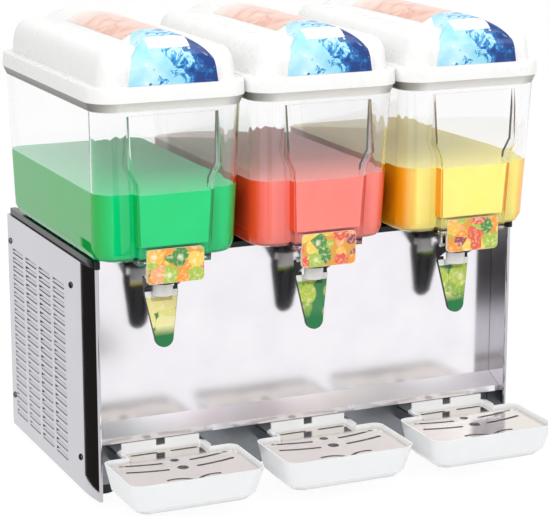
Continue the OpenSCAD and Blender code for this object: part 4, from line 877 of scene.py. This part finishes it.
def seen_as_white(tree):
    """One for rays from the eye, straight or by way of metal or clear plastic, else nought."""
    ray = add(tree, "ShaderNodeLightPath").outputs
    seen = add(tree, "ShaderNodeMath", {0: ray["Is Camera Ray"], 1: ray["Is Glossy Ray"]},
               operation="MAXIMUM")
    return add(tree, "ShaderNodeMath", {0: seen.outputs[0], 1: ray["Is Transmission Ray"]},
               operation="MAXIMUM").outputs[0]


# Matt paint that takes soft shadows, and is lit up to white for the eye.
counter_paint = bpy.data.materials.new("counter_pale")
counter_paint.use_nodes = True
tree = counter_paint.node_tree
tree.nodes.remove(tree.nodes["Principled BSDF"])
share = add(tree, "ShaderNodeMath", {0: seen_as_white(tree), 1: 0.88}, operation="MULTIPLY")
pale = add(tree, "ShaderNodeBsdfDiffuse", {"Color": linear("#f2f2f2")})
white = add(tree, "ShaderNodeEmission", {"Color": (1, 1, 1, 1), "Strength": 1.07})
both = add(tree, "ShaderNodeMixShader", {0: share.outputs[0], 1: pale.outputs[0], 2: white.outputs[0]})
tree.links.new(both.outputs[0], tree.nodes["Material Output"].inputs["Surface"])
work = bmesh.new()
bmesh.ops.create_grid(work, x_segments=1, y_segments=1, size=6)
counter_mesh = baked(work, "counter")
counter_mesh.materials.append(counter_paint)
counter = put("counter", counter_mesh)

# Dark cards that only the polished metal sees, soft at their long edges: one stands close beside
# the left panel's rolled edge, and one lies in front of the machine for the right panel's.
card_felt, tree, shader = finish("card_felt_dark", "#000000", Roughness=1.0, Specular_IOR_Level=0.0,
                                 Emission_Color=linear("#2a2826"), Emission_Strength=1.0)
soft = add(tree, "ShaderNodeAttribute", attribute_name="cover").outputs["Fac"]
tree.links.new(soft, shader.inputs["Alpha"])
left_x, left_top, floor_z = -0.32, 0.31, 0.001
left_edges = [((left_x, 0.008, z), (left_x, -0.085, z)) for z in (0.0, left_top)]
right_edges = [((x, y, floor_z), (u, v, floor_z)) for x, y, u, v in (
    (-0.06, -0.66, -0.4, -0.66), (-0.05, -0.8, -0.45, -0.9), (-0.3, -1.3, -0.7, -1.3))]
# across a card: how far each point lies from its first edge to its second, and how dark it is
fades, covers = (-0.15, 0.0, 1.0, 1.15), (0.0, 1.0, 1.0, 0.0)
for name, edges in (("left_card", left_edges), ("right_card", right_edges)):
    spots = [Vector(first).lerp(Vector(second), fade) for first, second in edges for fade in fades]
    faces = [(i, i + 1, i + 5, i + 4) for i in range(len(spots) - 4) if i % 4 < 3]
    mesh = bpy.data.meshes.new(name)
    mesh.from_pydata(spots, [], faces)
    cover = mesh.attributes.new("cover", "FLOAT", "POINT")
    cover.data.foreach_set("value", covers * len(edges))
    mesh.materials.append(card_felt)
    card = put(name, mesh)
    card.visible_camera = card.visible_diffuse = False
    card.visible_shadow = card.visible_transmission = False

# The backdrop is the world: white to the eye, and half as bright as a lamp.
world = bpy.data.worlds.new("studio")
bpy.context.scene.world = world
world.use_nodes = True
tree = world.node_tree
tree.nodes.clear()
level = add(tree, "ShaderNodeMapRange", {"Value": seen_as_white(tree), "To Min": 0.5, "To Max": 1.0})
sky = add(tree, "ShaderNodeBackground", {"Color": (1, 1, 1, 1), "Strength": level.outputs["Result"]})
add(tree, "ShaderNodeOutputWorld", {"Surface": sky.outputs[0]})

aim_point = Vector((0, 0, 0.3))
for name, spot, power, width in (("key_lamp", (-1.6, -1.8, 1.9), 31, 1.4),
                                 ("top_lamp", (0.2, -0.3, 2.4), 20, 1.8),
                                 ("fill_lamp", (1.8, -1.4, 1.2), 12, 1.4)):
    lamp = bpy.data.lights.new(name, "AREA")
    lamp.energy, lamp.size = power, width
    stand = put(name, lamp)
    stand.location = spot
    stand.rotation_euler = (aim_point - Vector(spot)).to_track_quat("-Z", "Y").to_euler()
